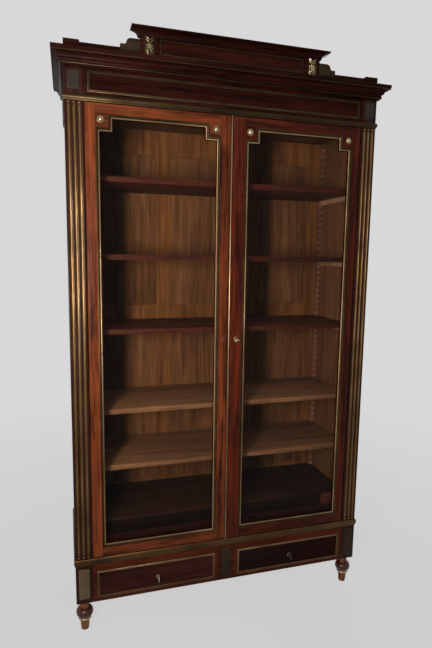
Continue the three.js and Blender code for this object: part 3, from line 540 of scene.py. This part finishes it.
def metal(name, bright, tarnished, gloss, metallic=1.0, specular=0.5):
    """Worn brass or iron, from its bright places to its tarnished ones."""
    material, tree, surface, _, place = new_material(name)
    age = node(tree, "ShaderNodeGroup", node_tree=METAL_AGE)
    tree.links.new(place, age.inputs["Vector"])
    tree.links.new(mix_colour(tree, age.outputs["Tarnish"], linear(*bright), linear(*tarnished)),
                   surface.inputs["Base Color"])
    rough = node(tree, "ShaderNodeMapRange", {"Value": age.outputs["Tarnish"],
                                              "To Min": gloss, "To Max": gloss + METAL_WEAR})
    tree.links.new(rough.outputs[0], surface.inputs["Roughness"])
    surface.inputs["Metallic"].default_value = metallic
    surface.inputs["Specular IOR Level"].default_value = specular
    bump = node(tree, "ShaderNodeBump", {"Strength": 0.02, "Distance": 0.2 * MM,
                                         "Height": age.outputs["Scratch"]})
    tree.links.new(bump.outputs[0], surface.inputs["Normal"])
    return material


GLASS_TINT = (0.97, 0.985, 0.98, 1)
PANE_SHADOW = (0.93, 0.95, 0.94, 1)
PANE_BENDING = 1.12
SMEAR_ROUGHNESS = 0.012


def window_glass():
    """Thin panes; light falls straight through them."""
    material, tree, surface, output, place = new_material("window glass")
    surface.inputs["Base Color"].default_value = GLASS_TINT
    surface.inputs["Transmission Weight"].default_value = 1.0
    surface.inputs["IOR"].default_value = PANE_BENDING
    smears = node(tree, "ShaderNodeTexNoise", {"Vector": place, "Scale": 6.0, "Detail": 4.0})
    rough = node(tree, "ShaderNodeMapRange", {"Value": smears.outputs[0], "From Min": 0.5,
                                              "To Min": 0.0, "To Max": SMEAR_ROUGHNESS})
    tree.links.new(rough.outputs[0], surface.inputs["Roughness"])
    clear = node(tree, "ShaderNodeBsdfTransparent", {"Color": PANE_SHADOW})
    path = node(tree, "ShaderNodeLightPath")
    through = math_node(tree, "MAXIMUM", path.outputs["Is Shadow Ray"],
                        path.outputs["Is Diffuse Ray"])
    both = node(tree, "ShaderNodeMixShader", {0: through, 1: surface.outputs[0],
                                              2: clear.outputs[0]})
    tree.links.new(both.outputs[0], output.inputs["Surface"])
    return material


# Colours of the woods on screen, the dark and the light of each figure
RED_DARK, RED_LIGHT = (44, 15, 6), (139, 68, 36)
WINE_DARK, WINE_LIGHT = (32, 9, 4), (103, 38, 18)
DEEP_DARK, DEEP_LIGHT = (20, 7, 5), (54, 21, 14)
POST_LIGHT = (59, 26, 16)
CROWN_DARK, CROWN_LIGHT = (23, 8, 6), (61, 24, 17)
FLAME_DARK, FLAME_LIGHT = (20, 7, 5), (56, 22, 15)
BASE_DARK, BASE_LIGHT = (36, 14, 8), (92, 42, 26)
VENEER_DARK, VENEER_LIGHT = (27, 12, 9), (67, 33, 27)
# The right base drawer's darker veneer is painted shade
SHADED_VENEER_DARK, SHADED_VENEER_LIGHT = (13, 6, 5), (38, 18, 14)
INNER_DARK, INNER_LIGHT = (8, 3, 2), (26, 10, 7)
TURNED_DARK, TURNED_LIGHT = (94, 48, 28), (164, 102, 68)
# The foot bulb's darker colours are painted shade; the door plug uses them as its own dark wood
SHADED_BULB_AND_PLUG_DARK, SHADED_BULB_AND_PLUG_LIGHT = (40, 16, 9), (96, 46, 28)
OAK_DARK, OAK_LIGHT = (78, 44, 22), (129, 82, 47)
WALL_DARK, WALL_LIGHT = (80, 45, 25), (129, 82, 51)
RAIL_DARK, RAIL_LIGHT = (80, 43, 17), (132, 80, 38)
STRIP_DARK, STRIP_LIGHT = (84, 46, 30), (134, 86, 60)
CLEAT_DARK, CLEAT_LIGHT = (128, 84, 60), (188, 136, 100)
TIP_DARK, TIP_LIGHT = (122, 78, 60), (168, 118, 94)
CASE_LIGHT = (62, 33, 20)
END_DARK, END_LIGHT = (78, 34, 22), (132, 66, 46)
OLIVE_DARK, OLIVE_LIGHT = (34, 25, 17), (62, 48, 34)
SHELF_DARK, SHELF_LIGHT = (46, 17, 10), (86, 37, 23)
TAN_DARK, TAN_LIGHT = (96, 60, 37), (150, 99, 66)

# How much paler than the figure a door's meeting stile, pivot stile and rails are; less than 0
# is darker
LEFT_DOOR_TONES = (-0.2, 0.02, -0.12)
RIGHT_DOOR_TONES = (0.0, -0.15, -0.25)


def drawer_wood(name, veneer_dark, veneer_light, offset):
    """A base drawer: reddish edges, flame veneer inside the bead, plain wood behind."""
    return wood(name, BASE_DARK, BASE_LIGHT, "x", offset, figure=1.8, specular=0.03,
                patches=[(inside_drawer_bead, veneer_dark, veneer_light),
                         (behind_base_front, OAK_DARK, OAK_LIGHT)])


MAHOGANY_UPRIGHT = wood("mahogany, upright grain", DEEP_DARK, POST_LIGHT, "z")
MAHOGANY_LEFT = wood("mahogany, left door", RED_DARK, RED_LIGHT, "z", offset=2.1,
                     door_tones=LEFT_DOOR_TONES)
MAHOGANY_RIGHT = wood("mahogany, right door", WINE_DARK, WINE_LIGHT, "z", offset=5.6,
                      door_tones=RIGHT_DOOR_TONES)
MAHOGANY_SIDE = wood("mahogany, side", DEEP_DARK, POST_LIGHT, "z", offset=4.4, figure=1.4,
                     gloss=0.46, specular=0.06,
                     patches=[(inside_of_sides, WALL_DARK, WALL_LIGHT)])
TURNED = wood("mahogany, turned", TURNED_DARK, TURNED_LIGHT, "z", offset=9.1)
# Darker wood on the foot bulbs is painted shade; the door plug shares it
SHADED_BULB_AND_PLUG = wood("mahogany, bulb in painted shade, and the plug", SHADED_BULB_AND_PLUG_DARK, SHADED_BULB_AND_PLUG_LIGHT, "z", offset=9.1, gloss=0.16,
                   specular=0.3)
DARK_LEVEL = wood("dark mahogany, level grain", DEEP_DARK, DEEP_LIGHT, "x", offset=0.6,
                  gloss=0.34, specular=0.03)
CROWN_RED = wood("reddish mahogany, level grain", CROWN_DARK, CROWN_LIGHT, "x", offset=1.1,
                 specular=0.03)
FLAME = wood("flame mahogany", FLAME_DARK, FLAME_LIGHT, "x", offset=3.3, figure=1.8,
             specular=0.03)
BASE_RED = wood("mahogany of the base", BASE_DARK, BASE_LIGHT, "x", offset=1.4, specular=0.05)
BASE_DRAWER_LEFT = drawer_wood("base drawer, left", VENEER_DARK, VENEER_LIGHT, offset=3.3)
# The right drawer's darker veneer is painted shade
BASE_DRAWER_RIGHT = drawer_wood("base drawer, right", SHADED_VENEER_DARK, SHADED_VENEER_LIGHT,
                                offset=5.9)
INNER_DRAWER = wood("inner drawer", INNER_DARK, INNER_LIGHT, "x", offset=3.3, figure=1.8,
                    specular=0.03, patches=[(behind_inner_front, OAK_DARK, OAK_LIGHT)])
INNER_CASE = wood("inner case", DEEP_DARK, CASE_LIGHT, "x", offset=4.9, specular=0.03,
                  patches=[(ends_of_case, END_DARK, END_LIGHT)])
# Olive-brown, darker and greener than the mahogany round it
OLIVE = wood("olive-brown wood", OLIVE_DARK, OLIVE_LIGHT, "x", offset=1.9, specular=0.03)
SHELF_RED = wood("shelf, reddish", SHELF_DARK, SHELF_LIGHT, "x", offset=5.2, gloss=0.45,
                 specular=0.04)
SHELF_TAN = wood("shelf, tan", TAN_DARK, TAN_LIGHT, "x", offset=6.2, gloss=0.5)
BACK_PANEL = wood("back panels", OAK_DARK, OAK_LIGHT, "z", offset=7.7, gloss=0.5, specular=0.05)
BACK_FRAME = wood("back frame", RAIL_DARK, RAIL_LIGHT, "z", offset=3.6, gloss=0.5, specular=0.05)
OAK_LEVEL = wood("plain wood, level grain", OAK_DARK, OAK_LIGHT, "x", offset=8.4, gloss=0.5)
# The pale tips of the teeth are wear and a painted highlight
STRIPS = wood("rack strips", STRIP_DARK, STRIP_LIGHT, "z", offset=2.9, gloss=0.5,
              patches=[(cleats, CLEAT_DARK, CLEAT_LIGHT), (tips_of_teeth, TIP_DARK, TIP_LIGHT)])
BRASS = metal("brass", bright=(146, 118, 86), tarnished=(98, 74, 52), gloss=0.26)
FLUTE_BRASS = metal("brass, flutes", bright=(120, 93, 60), tarnished=(78, 58, 37), gloss=0.28)
MOULDING_BRASS = metal("darkened brass", bright=(62, 48, 31), tarnished=(40, 31, 20), gloss=0.34)
BROWN_BRASS = metal("brown brass", bright=(86, 62, 38), tarnished=(54, 39, 25), gloss=0.32)
DIM_BRASS = metal("dim brass", bright=(78, 63, 44), tarnished=(52, 41, 29), gloss=0.32)
BRIGHT_BRASS = metal("bright brass", bright=(202, 184, 148), tarnished=(122, 102, 74), gloss=0.2)
DULL_BRASS = metal("dull brass", bright=(116, 96, 72), tarnished=(84, 68, 50), gloss=0.42,
                   metallic=0.5, specular=0.15)
OLD_BRASS = metal("old brass", bright=(58, 44, 30), tarnished=(38, 29, 20), gloss=0.34)
GREY_BRASS = metal("grey brass", bright=(62, 56, 49), tarnished=(42, 37, 32), gloss=0.45,
                   metallic=0.5, specular=0.1)
# Darker brass of the right and middle base plates; on the right plate it is painted shade
DARK_PLATE = metal("darker brass, painted shade on the right base plate", bright=(60, 48, 34), tarnished=(42, 33, 24), gloss=0.42,
                   metallic=0.5, specular=0.1)
IRON = metal("iron", bright=(168, 158, 146), tarnished=(96, 88, 80), gloss=0.28)
# Darker iron for the right drawer's key: painted shade
SHADED_IRON = metal("iron in painted shade", bright=(84, 76, 68), tarnished=(50, 45, 40), gloss=0.36)
GLASS = window_glass()


# Woodwork and metalwork: copies of the nodes with worn edges

WOODWORK = {
    MAHOGANY_SIDE: ["side_left", "side_right"],
    MAHOGANY_LEFT: ["door_frame_left"],
    MAHOGANY_RIGHT: ["door_frame_right"],
    DARK_LEVEL: ["frieze_board", "cornice", "pediment_cornice", "parapet_left", "parapet_right"],
    CROWN_RED: ["pediment_board"],
    BASE_RED: ["base_rail", "base_floor", "base_partition"],
    OLIVE: ["scroll_bracket_left", "scroll_bracket_right"],
    FLAME: ["bottom_board"],
    BASE_DRAWER_LEFT: ["base_drawer_left"],
    BASE_DRAWER_RIGHT: ["base_drawer_right"],
    INNER_DRAWER: ["inner_drawer_left", "inner_drawer_right"],
    MAHOGANY_UPRIGHT: ["post_left", "post_right"],
    INNER_CASE: ["inner_case"],
    SHELF_TAN: ["shelf_1", "shelf_2"],
    SHELF_RED: ["shelf_3", "shelf_4", "shelf_5"],
    BACK_PANEL: ["back_boarding"],
    BACK_FRAME: ["back_frame"],
    STRIPS: ["shelf_rack_left", "shelf_rack_right"],
    OAK_LEVEL: ["ceiling_board", "top_board"],
}

# The nodes that are worn less than the others, or not at all
EDGE_WIDTHS = {
    "back_boarding": 0.0,
    "shelf_rack_left": 0.0,
    "shelf_rack_right": 0.0,
    "back_frame": BACK_FRAME_SOFTNESS,
    "post_left": POST_SOFTNESS,
    "post_right": POST_SOFTNESS,
}


def woodwork():
    for material, nodes in WOODWORK.items():
        for name in nodes:
            softened_node(name, material, EDGE_WIDTHS.get(name, EDGE_SOFTNESS))


def metalwork():
    softened_node("door_astragal", BRASS, TRIM_SOFTNESS)
    softened_node("base_moulding", BROWN_BRASS, TRIM_SOFTNESS)
    softened_node("architrave_moulding", MOULDING_BRASS, TRIM_SOFTNESS)
    softened_node("cornice_astragal", OLD_BRASS, TRIM_SOFTNESS)
    for name in ("pivot_left_bottom", "pivot_left_top", "pivot_right_bottom", "pivot_right_top",
                 "door_lock"):
        softened_node(name, DULL_BRASS, TRIM_SOFTNESS)
    for name in ("lock_bolt", "door_key", "base_drawer_key_left"):
        softened_node(name, IRON, TRIM_SOFTNESS)
    # The right key's darker iron is painted shade
    softened_node("base_drawer_key_right", SHADED_IRON, TRIM_SOFTNESS)
    for name in ("door_glass_left", "door_glass_right"):
        softened_node(name, GLASS, 0.0)


# Beads: an outline that is inset step by step, with a height at each step

def bead(name, outline, root, steps, material, body, replaced=()):
    """outline is [x, z] corners on the plane y = root. Each step gives its inset, its height in
    front of the root and its slot: 0 is the given material and 1 the darkened brass."""
    bm = bmesh.new()
    face = bm.faces.new([bm.verts.new((x, root, z)) for x, z in outline])
    height = 0.0
    for inset, rise, slot in steps:
        made = bmesh.ops.inset_region(bm, faces=[face], thickness=inset, use_boundary=True,
                                      use_even_offset=True)
        for ring_face in made["faces"]:
            ring_face.material_index = slot
        bmesh.ops.translate(bm, vec=(0, height - rise, 0), verts=face.verts[:])
        height = rise
    bmesh.ops.delete(bm, geom=[face], context="FACES")
    bmesh.ops.bridge_loops(bm, edges=[edge for edge in bm.edges if edge.is_boundary])
    finish_piece(name, mesh_from(name, bm), [material, MOULDING_BRASS], body, replaced,
                 smooth_angle=BEAD_SMOOTH_ANGLE)


# The door bead's profile, and the profile of the flat beads in shares of width and height
# On the door beads the bright brass lip by the glass (slot 0) is a painted highlight, and the
# darkened brass of the outer ridges (slot 1) is painted shade
RIDGE_STEPS = (
    (0.3 * MM, 2.6 * MM, 1),
    (1.2 * MM, 3.4 * MM, 1),
    (2.6 * MM, 3.4 * MM, 1),
    (1.6 * MM, 2.4 * MM, 1),
    (1.2 * MM, 0.4 * MM, 1),
    (1.6 * MM, 0.3 * MM, 1),
    (1.2 * MM, -0.6 * MM, 1),
    (0.9 * MM, 0.6 * MM, 0),
    (1.0 * MM, 1.0 * MM, 0),
    (1.0 * MM, 0.9 * MM, 0),
    (1.3 * MM, 0.3 * MM, 0),
    (1.2 * MM, -1.6 * MM, 0),
    (1.6 * MM, -6.0 * MM, 1),
    (0.3 * MM, -11.5 * MM, 1),
)
FLAT_BEAD_SHARES = (
    (0.04, 0.7, 0),
    (0.12, 1.0, 0),
    (0.16, 1.0, 0),
    (0.1, 0.5, 1),
    (0.22, 0.5, 1),
    (0.1, 0.8, 0),
    (0.16, 0.7, 0),
    (0.06, 0.1, 0),
)


def bead_steps(width, proud):
    return [(share * width, rise * proud, slot) for share, rise, slot in FLAT_BEAD_SHARES]


def rectangle(low, high):
    """The corners of a rectangle, as [x, z]."""
    return [(low.x, low.z), (high.x, low.z), (high.x, high.z), (low.x, high.z)]


def notched(low, high):
    """The corners of a rectangle whose upper corners step in by a square notch."""
    left, right, shoulder = low.x + BEAD_NOTCH, high.x - BEAD_NOTCH, high.z - BEAD_NOTCH
    return [(low.x, low.z), (high.x, low.z), (high.x, shoulder), (right, shoulder),
            (right, high.z), (left, high.z), (left, shoulder), (low.x, shoulder)]


def door_beads():
    for side in ("left", "right"):
        name = "door_bead_" + side
        bead(name + "_ridged", notched(*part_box(name)), FRONT - BEAD_SEAT, RIDGE_STEPS, BRASS,
             BODY_OF[name], [name])


def flat_beads():
    for name, width, material in (("frieze_bead", FRIEZE_BEAD_WIDTH, DIM_BRASS),
                                  ("base_drawer_bead_left", DRAWER_BEAD_WIDTH, BRASS),
                                  ("base_drawer_bead_right", DRAWER_BEAD_WIDTH, BRASS)):
        low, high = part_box(name)
        steps = bead_steps(width, FRONT - low.y)
        bead(name + "_ridged", rectangle(low, high), FRONT - BEAD_SEAT, steps, material,
             BODY_OF[name], [name])


# Small trims, the feet and the plaques

def rosette(name, x, z, body):
    """A polished dome in a turned ring."""
    bm = bmesh.new()
    ring = scaled(ROSETTE_RING, ROSETTE_RADIUS, ROSETTE_PROUD)
    foot = ROSETTE_DOME_FOOT_SHARE
    dome = [(ROSETTE_DOME_SHARE * math.cos(a), foot + (1 - foot) * math.sin(a))
            for a in quarter_turn(10)[:-1]]
    dome = scaled(dome, ROSETTE_RADIUS, ROSETTE_PROUD)
    turned(bm, ring + dome + [(0.0, ROSETTE_PROUD)], (x, FRONT - SEAT, z), (0, -1, 0), steps=40)
    finish_piece(name, mesh_from(name, bm), [BRIGHT_BRASS], body)


def rosettes():
    for side in ("left", "right"):
        low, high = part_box("door_bead_" + side)
        height = high.z - ROSETTE_INSET
        for end, x in (("inner", low.x + ROSETTE_INSET), ("outer", high.x - ROSETTE_INSET)):
            rosette(f"rosette_{side}_{end}", x, height, "door_" + side)


def flute_lining(name, x, foot, head):
    """A half tube that lines a flute, with a ball beyond each end."""
    bm = bmesh.new()
    tube = bmesh.ops.create_cone(bm, cap_ends=False, segments=24, radius1=FLUTE_RADIUS,
                                 radius2=FLUTE_RADIUS, depth=head - foot)["verts"]
    bmesh.ops.scale(bm, vec=(1, FLUTE_DEPTH_SHARE, 1), verts=tube)
    bmesh.ops.translate(bm, vec=(x, FRONT, (foot + head) / 2), verts=tube)
    bmesh.ops.bisect_plane(bm, geom=bm.verts[:] + bm.edges[:] + bm.faces[:],
                           plane_co=(0, FRONT - FLUTE_PROUD, 0), plane_no=(0, -1, 0),
                           clear_outer=True)
    bmesh.ops.solidify(bm, geom=bm.faces[:], thickness=FLUTE_WALL)
    for height in (foot, head):
        ball = bmesh.ops.create_uvsphere(bm, u_segments=20, v_segments=12,
                                         radius=FLUTE_BALL)["verts"]
        outward = -FLUTE_BALL_REACH if height == foot else FLUTE_BALL_REACH
        bmesh.ops.scale(bm, vec=(1, FLUTE_BALL_DEPTH_SHARE, 1), verts=ball)
        bmesh.ops.translate(bm, vec=(x, FRONT - FLUTE_BALL_PROUD, height + outward), verts=ball)
    finish_piece(name, mesh_from(name, bm), [FLUTE_BRASS], "carcase")


def flute_linings():
    foot = BASE_MOULDING_HEAD + FLUTE_END
    head = ARCHITRAVE_FOOT - FLUTE_END
    for side, hand in (("left", -1), ("right", 1)):
        for i in (-1, 0, 1):
            flute_lining(f"flute_lining_{side}_{i + 2}", hand * POST_MIDDLE + i * FLUTE_SPACING,
                         foot, head)


def reeded_plate(name, x, foot, width, height, material):
    """A plate with upright reeds side by side."""
    bm = bmesh.new()
    block(bm, (x - width / 2, FRONT - PLATE_THICKNESS, foot),
          (x + width / 2, FRONT - SEAT, foot + height))
    soften(bm, TRIM_SOFTNESS)
    reed = width * PLATE_REED_SHARE / PLATE_REEDS
    for i in range(PLATE_REEDS):
        middle = x + (i - (PLATE_REEDS - 1) / 2) * reed
        rod = bmesh.ops.create_cone(bm, cap_ends=True, segments=12, radius1=reed / 2,
                                    radius2=reed / 2, depth=height * PLATE_REED_SHARE)["verts"]
        bmesh.ops.scale(bm, vec=(1, PLATE_REED_DEPTH_SHARE, 1), verts=rod)
        bmesh.ops.translate(bm, vec=(middle, FRONT - PLATE_THICKNESS, foot + height / 2),
                            verts=rod)
    finish_piece(name, mesh_from(name, bm), [material], "carcase")


def plates():
    frieze_foot = ARCHITRAVE_FOOT + FRIEZE_PLATE_FOOT
    base_foot = BASE_FLOOR_FOOT + BASE_PLATE_FOOT
    # The right base plate's darker brass, against the paler brass of the left one, is painted shade
    for side, hand, base_material in (("left", -1, DULL_BRASS), ("right", 1, DARK_PLATE)):
        reeded_plate("frieze_plate_" + side, hand * POST_MIDDLE, frieze_foot,
                     FRIEZE_PLATE_WIDTH, FRIEZE_PLATE_HEIGHT, GREY_BRASS)
        reeded_plate("base_plate_" + side, hand * POST_MIDDLE, base_foot,
                     BASE_PLATE_WIDTH, BASE_PLATE_HEIGHT, base_material)
    reeded_plate("base_plate_middle", 0, base_foot, BASE_CENTRE_PLATE_WIDTH, BASE_PLATE_HEIGHT,
                 DARK_PLATE)


def turned_foot(name, low, high, centre):
    """A toe that widens from a round tip, a bulb whose darker wood is painted shade, and a neck."""
    tip_centre = FOOT_TIP - FOOT_TIP_ROUND
    tip = [(tip_centre + FOOT_TIP_ROUND * math.sin(a), FOOT_TIP_ROUND * (1 - math.cos(a)))
           for a in quarter_turn(6)]
    bulb = half_round(FOOT_NECK, (high.x - low.x) / 2, FOOT_BULB_FOOT, FOOT_BULB_TOP, steps=16)
    profile = [(0, 0)] + tip + [(FOOT_TOE, FOOT_RING_FOOT)] + bulb
    profile += [(FOOT_NECK, high.z), (0, high.z)]
    bm = bmesh.new()
    turned(bm, profile, centre, (0, 0, 1), steps=48)
    for face in bm.faces:
        height = face.calc_center_median().z
        # The bulb gets the darker wood: painted shade
        face.material_index = 1 if FOOT_BULB_FOOT < height < FOOT_BULB_TOP else 0
    finish_piece(name + "_turned", mesh_from(name + "_turned", bm), [TURNED, SHADED_BULB_AND_PLUG],
                 "carcase", [name])


def foot_ring(name, centre):
    """The brass ring under the bulb."""
    nose = half_round(FOOT_RING_NECK, FOOT_RING_NECK + FOOT_RING_PROUD, FOOT_RING_FOOT,
                      FOOT_BULB_FOOT, steps=8)
    root_foot = (FOOT_RING_ROOT, FOOT_RING_FOOT)
    root_head = (FOOT_RING_ROOT, FOOT_BULB_FOOT)
    bm = bmesh.new()
    turned(bm, [root_foot] + nose + [root_head, root_foot], centre, (0, 0, 1), steps=48)
    finish_piece(name, mesh_from(name, bm), [BRIGHT_BRASS], "carcase")


def feet():
    for corner in ("front_left", "front_right", "back_left", "back_right"):
        low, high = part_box("foot_" + corner)
        centre = ((low.x + high.x) / 2, (low.y + high.y) / 2, 0)
        turned_foot("foot_" + corner, low, high, centre)
        foot_ring("foot_ring_" + corner, centre)


def oval(name, x, z, body, size, profile, material):
    """A low disc on the front, drawn out to a width and a height."""
    bm = bmesh.new()
    turned(bm, scaled(profile, 1, ESCUTCHEON_PROUD), (0, 0, 0), (0, -1, 0), steps=36)
    bmesh.ops.scale(bm, vec=(size[0], 1, size[1]), verts=bm.verts[:])
    bmesh.ops.translate(bm, vec=(x, FRONT - SEAT, z), verts=bm.verts[:])
    finish_piece(name, mesh_from(name, bm), [material], body)


def escutcheons():
    """Pierced plates round the keys. A wooden plug on the left door mirrors the right door's."""
    low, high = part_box("door_key")
    key_x = (low.x + high.x) / 2
    key_z = DOOR_FOOT + LOCK_RISE
    oval("door_escutcheon", key_x, key_z, "door_right", DOOR_ESCUTCHEON, ESCUTCHEON_PROFILE, BRASS)
    oval("door_plug", -key_x, key_z, "door_left", DOOR_PLUG, PLUG_PROFILE, SHADED_BULB_AND_PLUG)
    for side in ("left", "right"):
        low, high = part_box("base_drawer_key_" + side)
        oval("drawer_escutcheon_" + side, (low.x + high.x) / 2, (low.z + high.z) / 2,
             "base_drawer_" + side, DRAWER_ESCUTCHEON, ESCUTCHEON_PROFILE, BRASS)


def cornice_fillet():
    """The brass line under the top edge of the cornice."""
    foot = CORNICE_HIGH.z - FILLET_FOOT
    head = foot + FILLET_HEIGHT
    half = CORNICE_HIGH.x - FILLET_SETBACK
    front = CORNICE_LOW.y + FILLET_SETBACK
    bm = bmesh.new()
    block(bm, (-half - FILLET_PROUD, front - FILLET_PROUD, foot), (half + FILLET_PROUD, front, head))
    for hand in (-1, 1):
        inner, outer = sorted((hand * half, hand * (half + FILLET_PROUD)))
        block(bm, (inner, front, foot), (outer, CORNICE_HIGH.y, head))
    soften(bm, TRIM_SOFTNESS)
    finish_piece("cornice_fillet", mesh_from("cornice_fillet", bm), [OLD_BRASS], "carcase")


def pediment_bead():
    """The thin bead round the sunk panel of the crowning."""
    steps = bead_steps(PEDIMENT_BEAD_WIDTH, PEDIMENT_BEAD_PROUD)
    low = Vector((-PEDIMENT_BEAD_HALF, 0, CORNICE_HIGH.z + PEDIMENT_BEAD_FOOT))
    high = Vector((PEDIMENT_BEAD_HALF, 0, CORNICE_HIGH.z + PEDIMENT_BEAD_HEAD))
    bead("pediment_bead", rectangle(low, high), FRONT + PEDIMENT_PANEL_RECESS - BEAD_SEAT, steps,
         DIM_BRASS, "carcase")


def leaf(bm, centre, size, reach, angle):
    """One leaf of a relief, pointing away from centre at an angle in the front plane."""
    made = bmesh.ops.create_uvsphere(bm, u_segments=10, v_segments=6, radius=1)["verts"]
    bmesh.ops.scale(bm, vec=size, verts=made)
    bmesh.ops.translate(bm, vec=(reach, 0, 0), verts=made)
    bmesh.ops.rotate(bm, verts=made, cent=(0, 0, 0), matrix=Matrix.Rotation(-angle, 3, "Y"))
    bmesh.ops.translate(bm, vec=centre, verts=made)


def plaque_ground(name, low, high):
    """The dark plate behind the relief."""
    bm = bmesh.new()
    block(bm, (low.x, FRONT - PLAQUE_PLATE, low.z), (high.x, FRONT - SEAT, high.z))
    soften(bm, TRIM_SOFTNESS)
    finish_piece(name, mesh_from(name, bm), [MOULDING_BRASS], "carcase")


def plaque_relief(name, low, high):
    """A flower in the middle and pairs of leaves above and below it."""
    middle = (low + high) / 2
    face = FRONT - PLAQUE_PLATE
    bm = bmesh.new()
    turned(bm, scaled(PLAQUE_FLOWER_PROFILE, PLAQUE_FLOWER, PLAQUE_FLOWER_PROUD),
           (middle.x, face, middle.z), (0, -1, 0), steps=24)
    for i in range(PLAQUE_LEAVES):
        leaf(bm, (middle.x, face, middle.z), PLAQUE_LEAF, PLAQUE_LEAF_REACH,
             math.tau * (i + 0.5) / PLAQUE_LEAVES)
    rise = math.radians(PLAQUE_SPRAY_RISE)
    for level in PLAQUE_SPRAY_LEVELS:
        for angle in (rise, math.pi - rise):
            leaf(bm, (middle.x, face, middle.z + level), PLAQUE_SPRAY, PLAQUE_SPRAY_REACH, angle)
    finish_piece(name + "_relief", mesh_from(name + "_relief", bm), [BRIGHT_BRASS],
                 "carcase", [name])


def plaques():
    for side in ("left", "right"):
        name = "plaque_" + side
        low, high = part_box(name)
        plaque_ground(name + "_ground", low, high)
        plaque_relief(name, low, high)


woodwork()
metalwork()
door_beads()
flat_beads()
rosettes()
flute_linings()
plates()
feet()
escutcheons()
cornice_fillet()
pediment_bead()
plaques()


# Floor, light and camera

BACKDROP_GREY = 216
BACKDROP = linear(BACKDROP_GREY, BACKDROP_GREY, BACKDROP_GREY)
AMBIENT_COLOUR = (0.96, 0.98, 1.0, 1)
AMBIENT_STRENGTH = 0.1
FLOOR_HALF_WIDTH = 14
FLOOR_FADE = (1.0, 3.5)
FLOOR_GLOW = (0.84, 1.0)


def background_rays(tree):
    """1 for the rays that see the pale background itself: camera, glossy and transmission."""
    path = node(tree, "ShaderNodeLightPath")
    mirrored = math_node(tree, "MAXIMUM", path.outputs["Is Glossy Ray"],
                         path.outputs["Is Transmission Ray"])
    return math_node(tree, "MAXIMUM", path.outputs["Is Camera Ray"], mirrored)


def floor():
    """A pale floor that fades into the backdrop and keeps a soft shadow."""
    material, tree, surface, output, place = new_material("pale floor")
    surface.inputs["Base Color"].default_value = BACKDROP
    surface.inputs["Roughness"].default_value = 0.9
    surface.inputs["Specular IOR Level"].default_value = 0.1
    far = node(tree, "ShaderNodeVectorMath", {0: place}, operation="LENGTH").outputs["Value"]
    fade = node(tree, "ShaderNodeMapRange", {"Value": far, "From Min": FLOOR_FADE[0],
                                             "From Max": FLOOR_FADE[1], "To Min": FLOOR_GLOW[0],
                                             "To Max": FLOOR_GLOW[1]})
    share = math_node(tree, "MULTIPLY", background_rays(tree), fade.outputs[0])
    glow = node(tree, "ShaderNodeEmission", {"Color": BACKDROP, "Strength": 1.0})
    both = node(tree, "ShaderNodeMixShader", {0: share, 1: surface.outputs[0],
                                              2: glow.outputs[0]})
    tree.links.new(both.outputs[0], output.inputs["Surface"])
    bm = bmesh.new()
    bmesh.ops.create_grid(bm, x_segments=1, y_segments=1, size=FLOOR_HALF_WIDTH)
    mesh = mesh_from("floor", bm)
    mesh.materials.append(material)
    piece = bpy.data.objects.new("floor", mesh)
    bpy.context.scene.collection.objects.link(piece)


def world():
    scene_world = bpy.data.worlds.new("studio")
    bpy.context.scene.world = scene_world
    scene_world.use_nodes = True
    tree = scene_world.node_tree
    tree.nodes.clear()
    ambient = node(tree, "ShaderNodeBackground", {"Color": AMBIENT_COLOUR,
                                                  "Strength": AMBIENT_STRENGTH})
    backdrop = node(tree, "ShaderNodeBackground", {"Color": BACKDROP, "Strength": 1.0})
    both = node(tree, "ShaderNodeMixShader", {0: background_rays(tree), 1: ambient.outputs[0],
                                              2: backdrop.outputs[0]})
    out = tree.nodes.new("ShaderNodeOutputWorld")
    tree.links.new(both.outputs[0], out.inputs["Surface"])


def softbox(name, place, target, size, power, colour, spread=180):
    lamp = bpy.data.lights.new(name, "AREA")
    lamp.shape = "RECTANGLE"
    lamp.size, lamp.size_y = size
    lamp.energy = power
    lamp.color = colour
    lamp.spread = math.radians(spread)
    piece = bpy.data.objects.new(name, lamp)
    piece.location = place
    piece.rotation_mode = "QUATERNION"
    piece.rotation_quaternion = (Vector(target) - Vector(place)).to_track_quat("-Z", "Y")
    bpy.context.scene.collection.objects.link(piece)


def lights():
    """A small bright light to the left of the camera, a wide soft light from high above, and a
    wide soft light behind the right corner for the back and the right side."""
    softbox("front light", place=(-1.25, -2.1, 1.6), target=(-0.3, 0, 1.7), size=(0.3, 0.7),
            power=25, colour=(1.0, 0.97, 0.93), spread=125)
    softbox("room light", place=(-0.5, -3.2, 4.8), target=(0, 0, 1.2), size=(1.6, 1.2),
            power=18, colour=(1.0, 0.95, 0.9))
    softbox("back light", place=(1.9, 3.0, 2.6), target=(0, 0, 1.3), size=(1.8, 1.4),
            power=45, colour=(1.0, 0.98, 0.95))


def camera():
    lens = bpy.data.cameras.new("camera")
    lens.lens = CAMERA_LENS
    lens.sensor_width = CAMERA_SENSOR
    lens.clip_start = CAMERA_NEAR
    lens.clip_end = CAMERA_FAR
    piece = bpy.data.objects.new("camera", lens)
    aim = (Matrix.Rotation(math.radians(CAMERA_HEADING), 4, "Z")
           @ Matrix.Rotation(math.radians(CAMERA_TILT), 4, "X")
           @ Matrix.Rotation(math.radians(CAMERA_ROLL), 4, "Z"))
    piece.matrix_world = Matrix.Translation(CAMERA_PLACE) @ aim
    bpy.context.scene.collection.objects.link(piece)
    bpy.context.scene.camera = piece


floor()
world()
lights()
camera()

scene = bpy.context.scene
scene.view_settings.view_transform = "Standard"
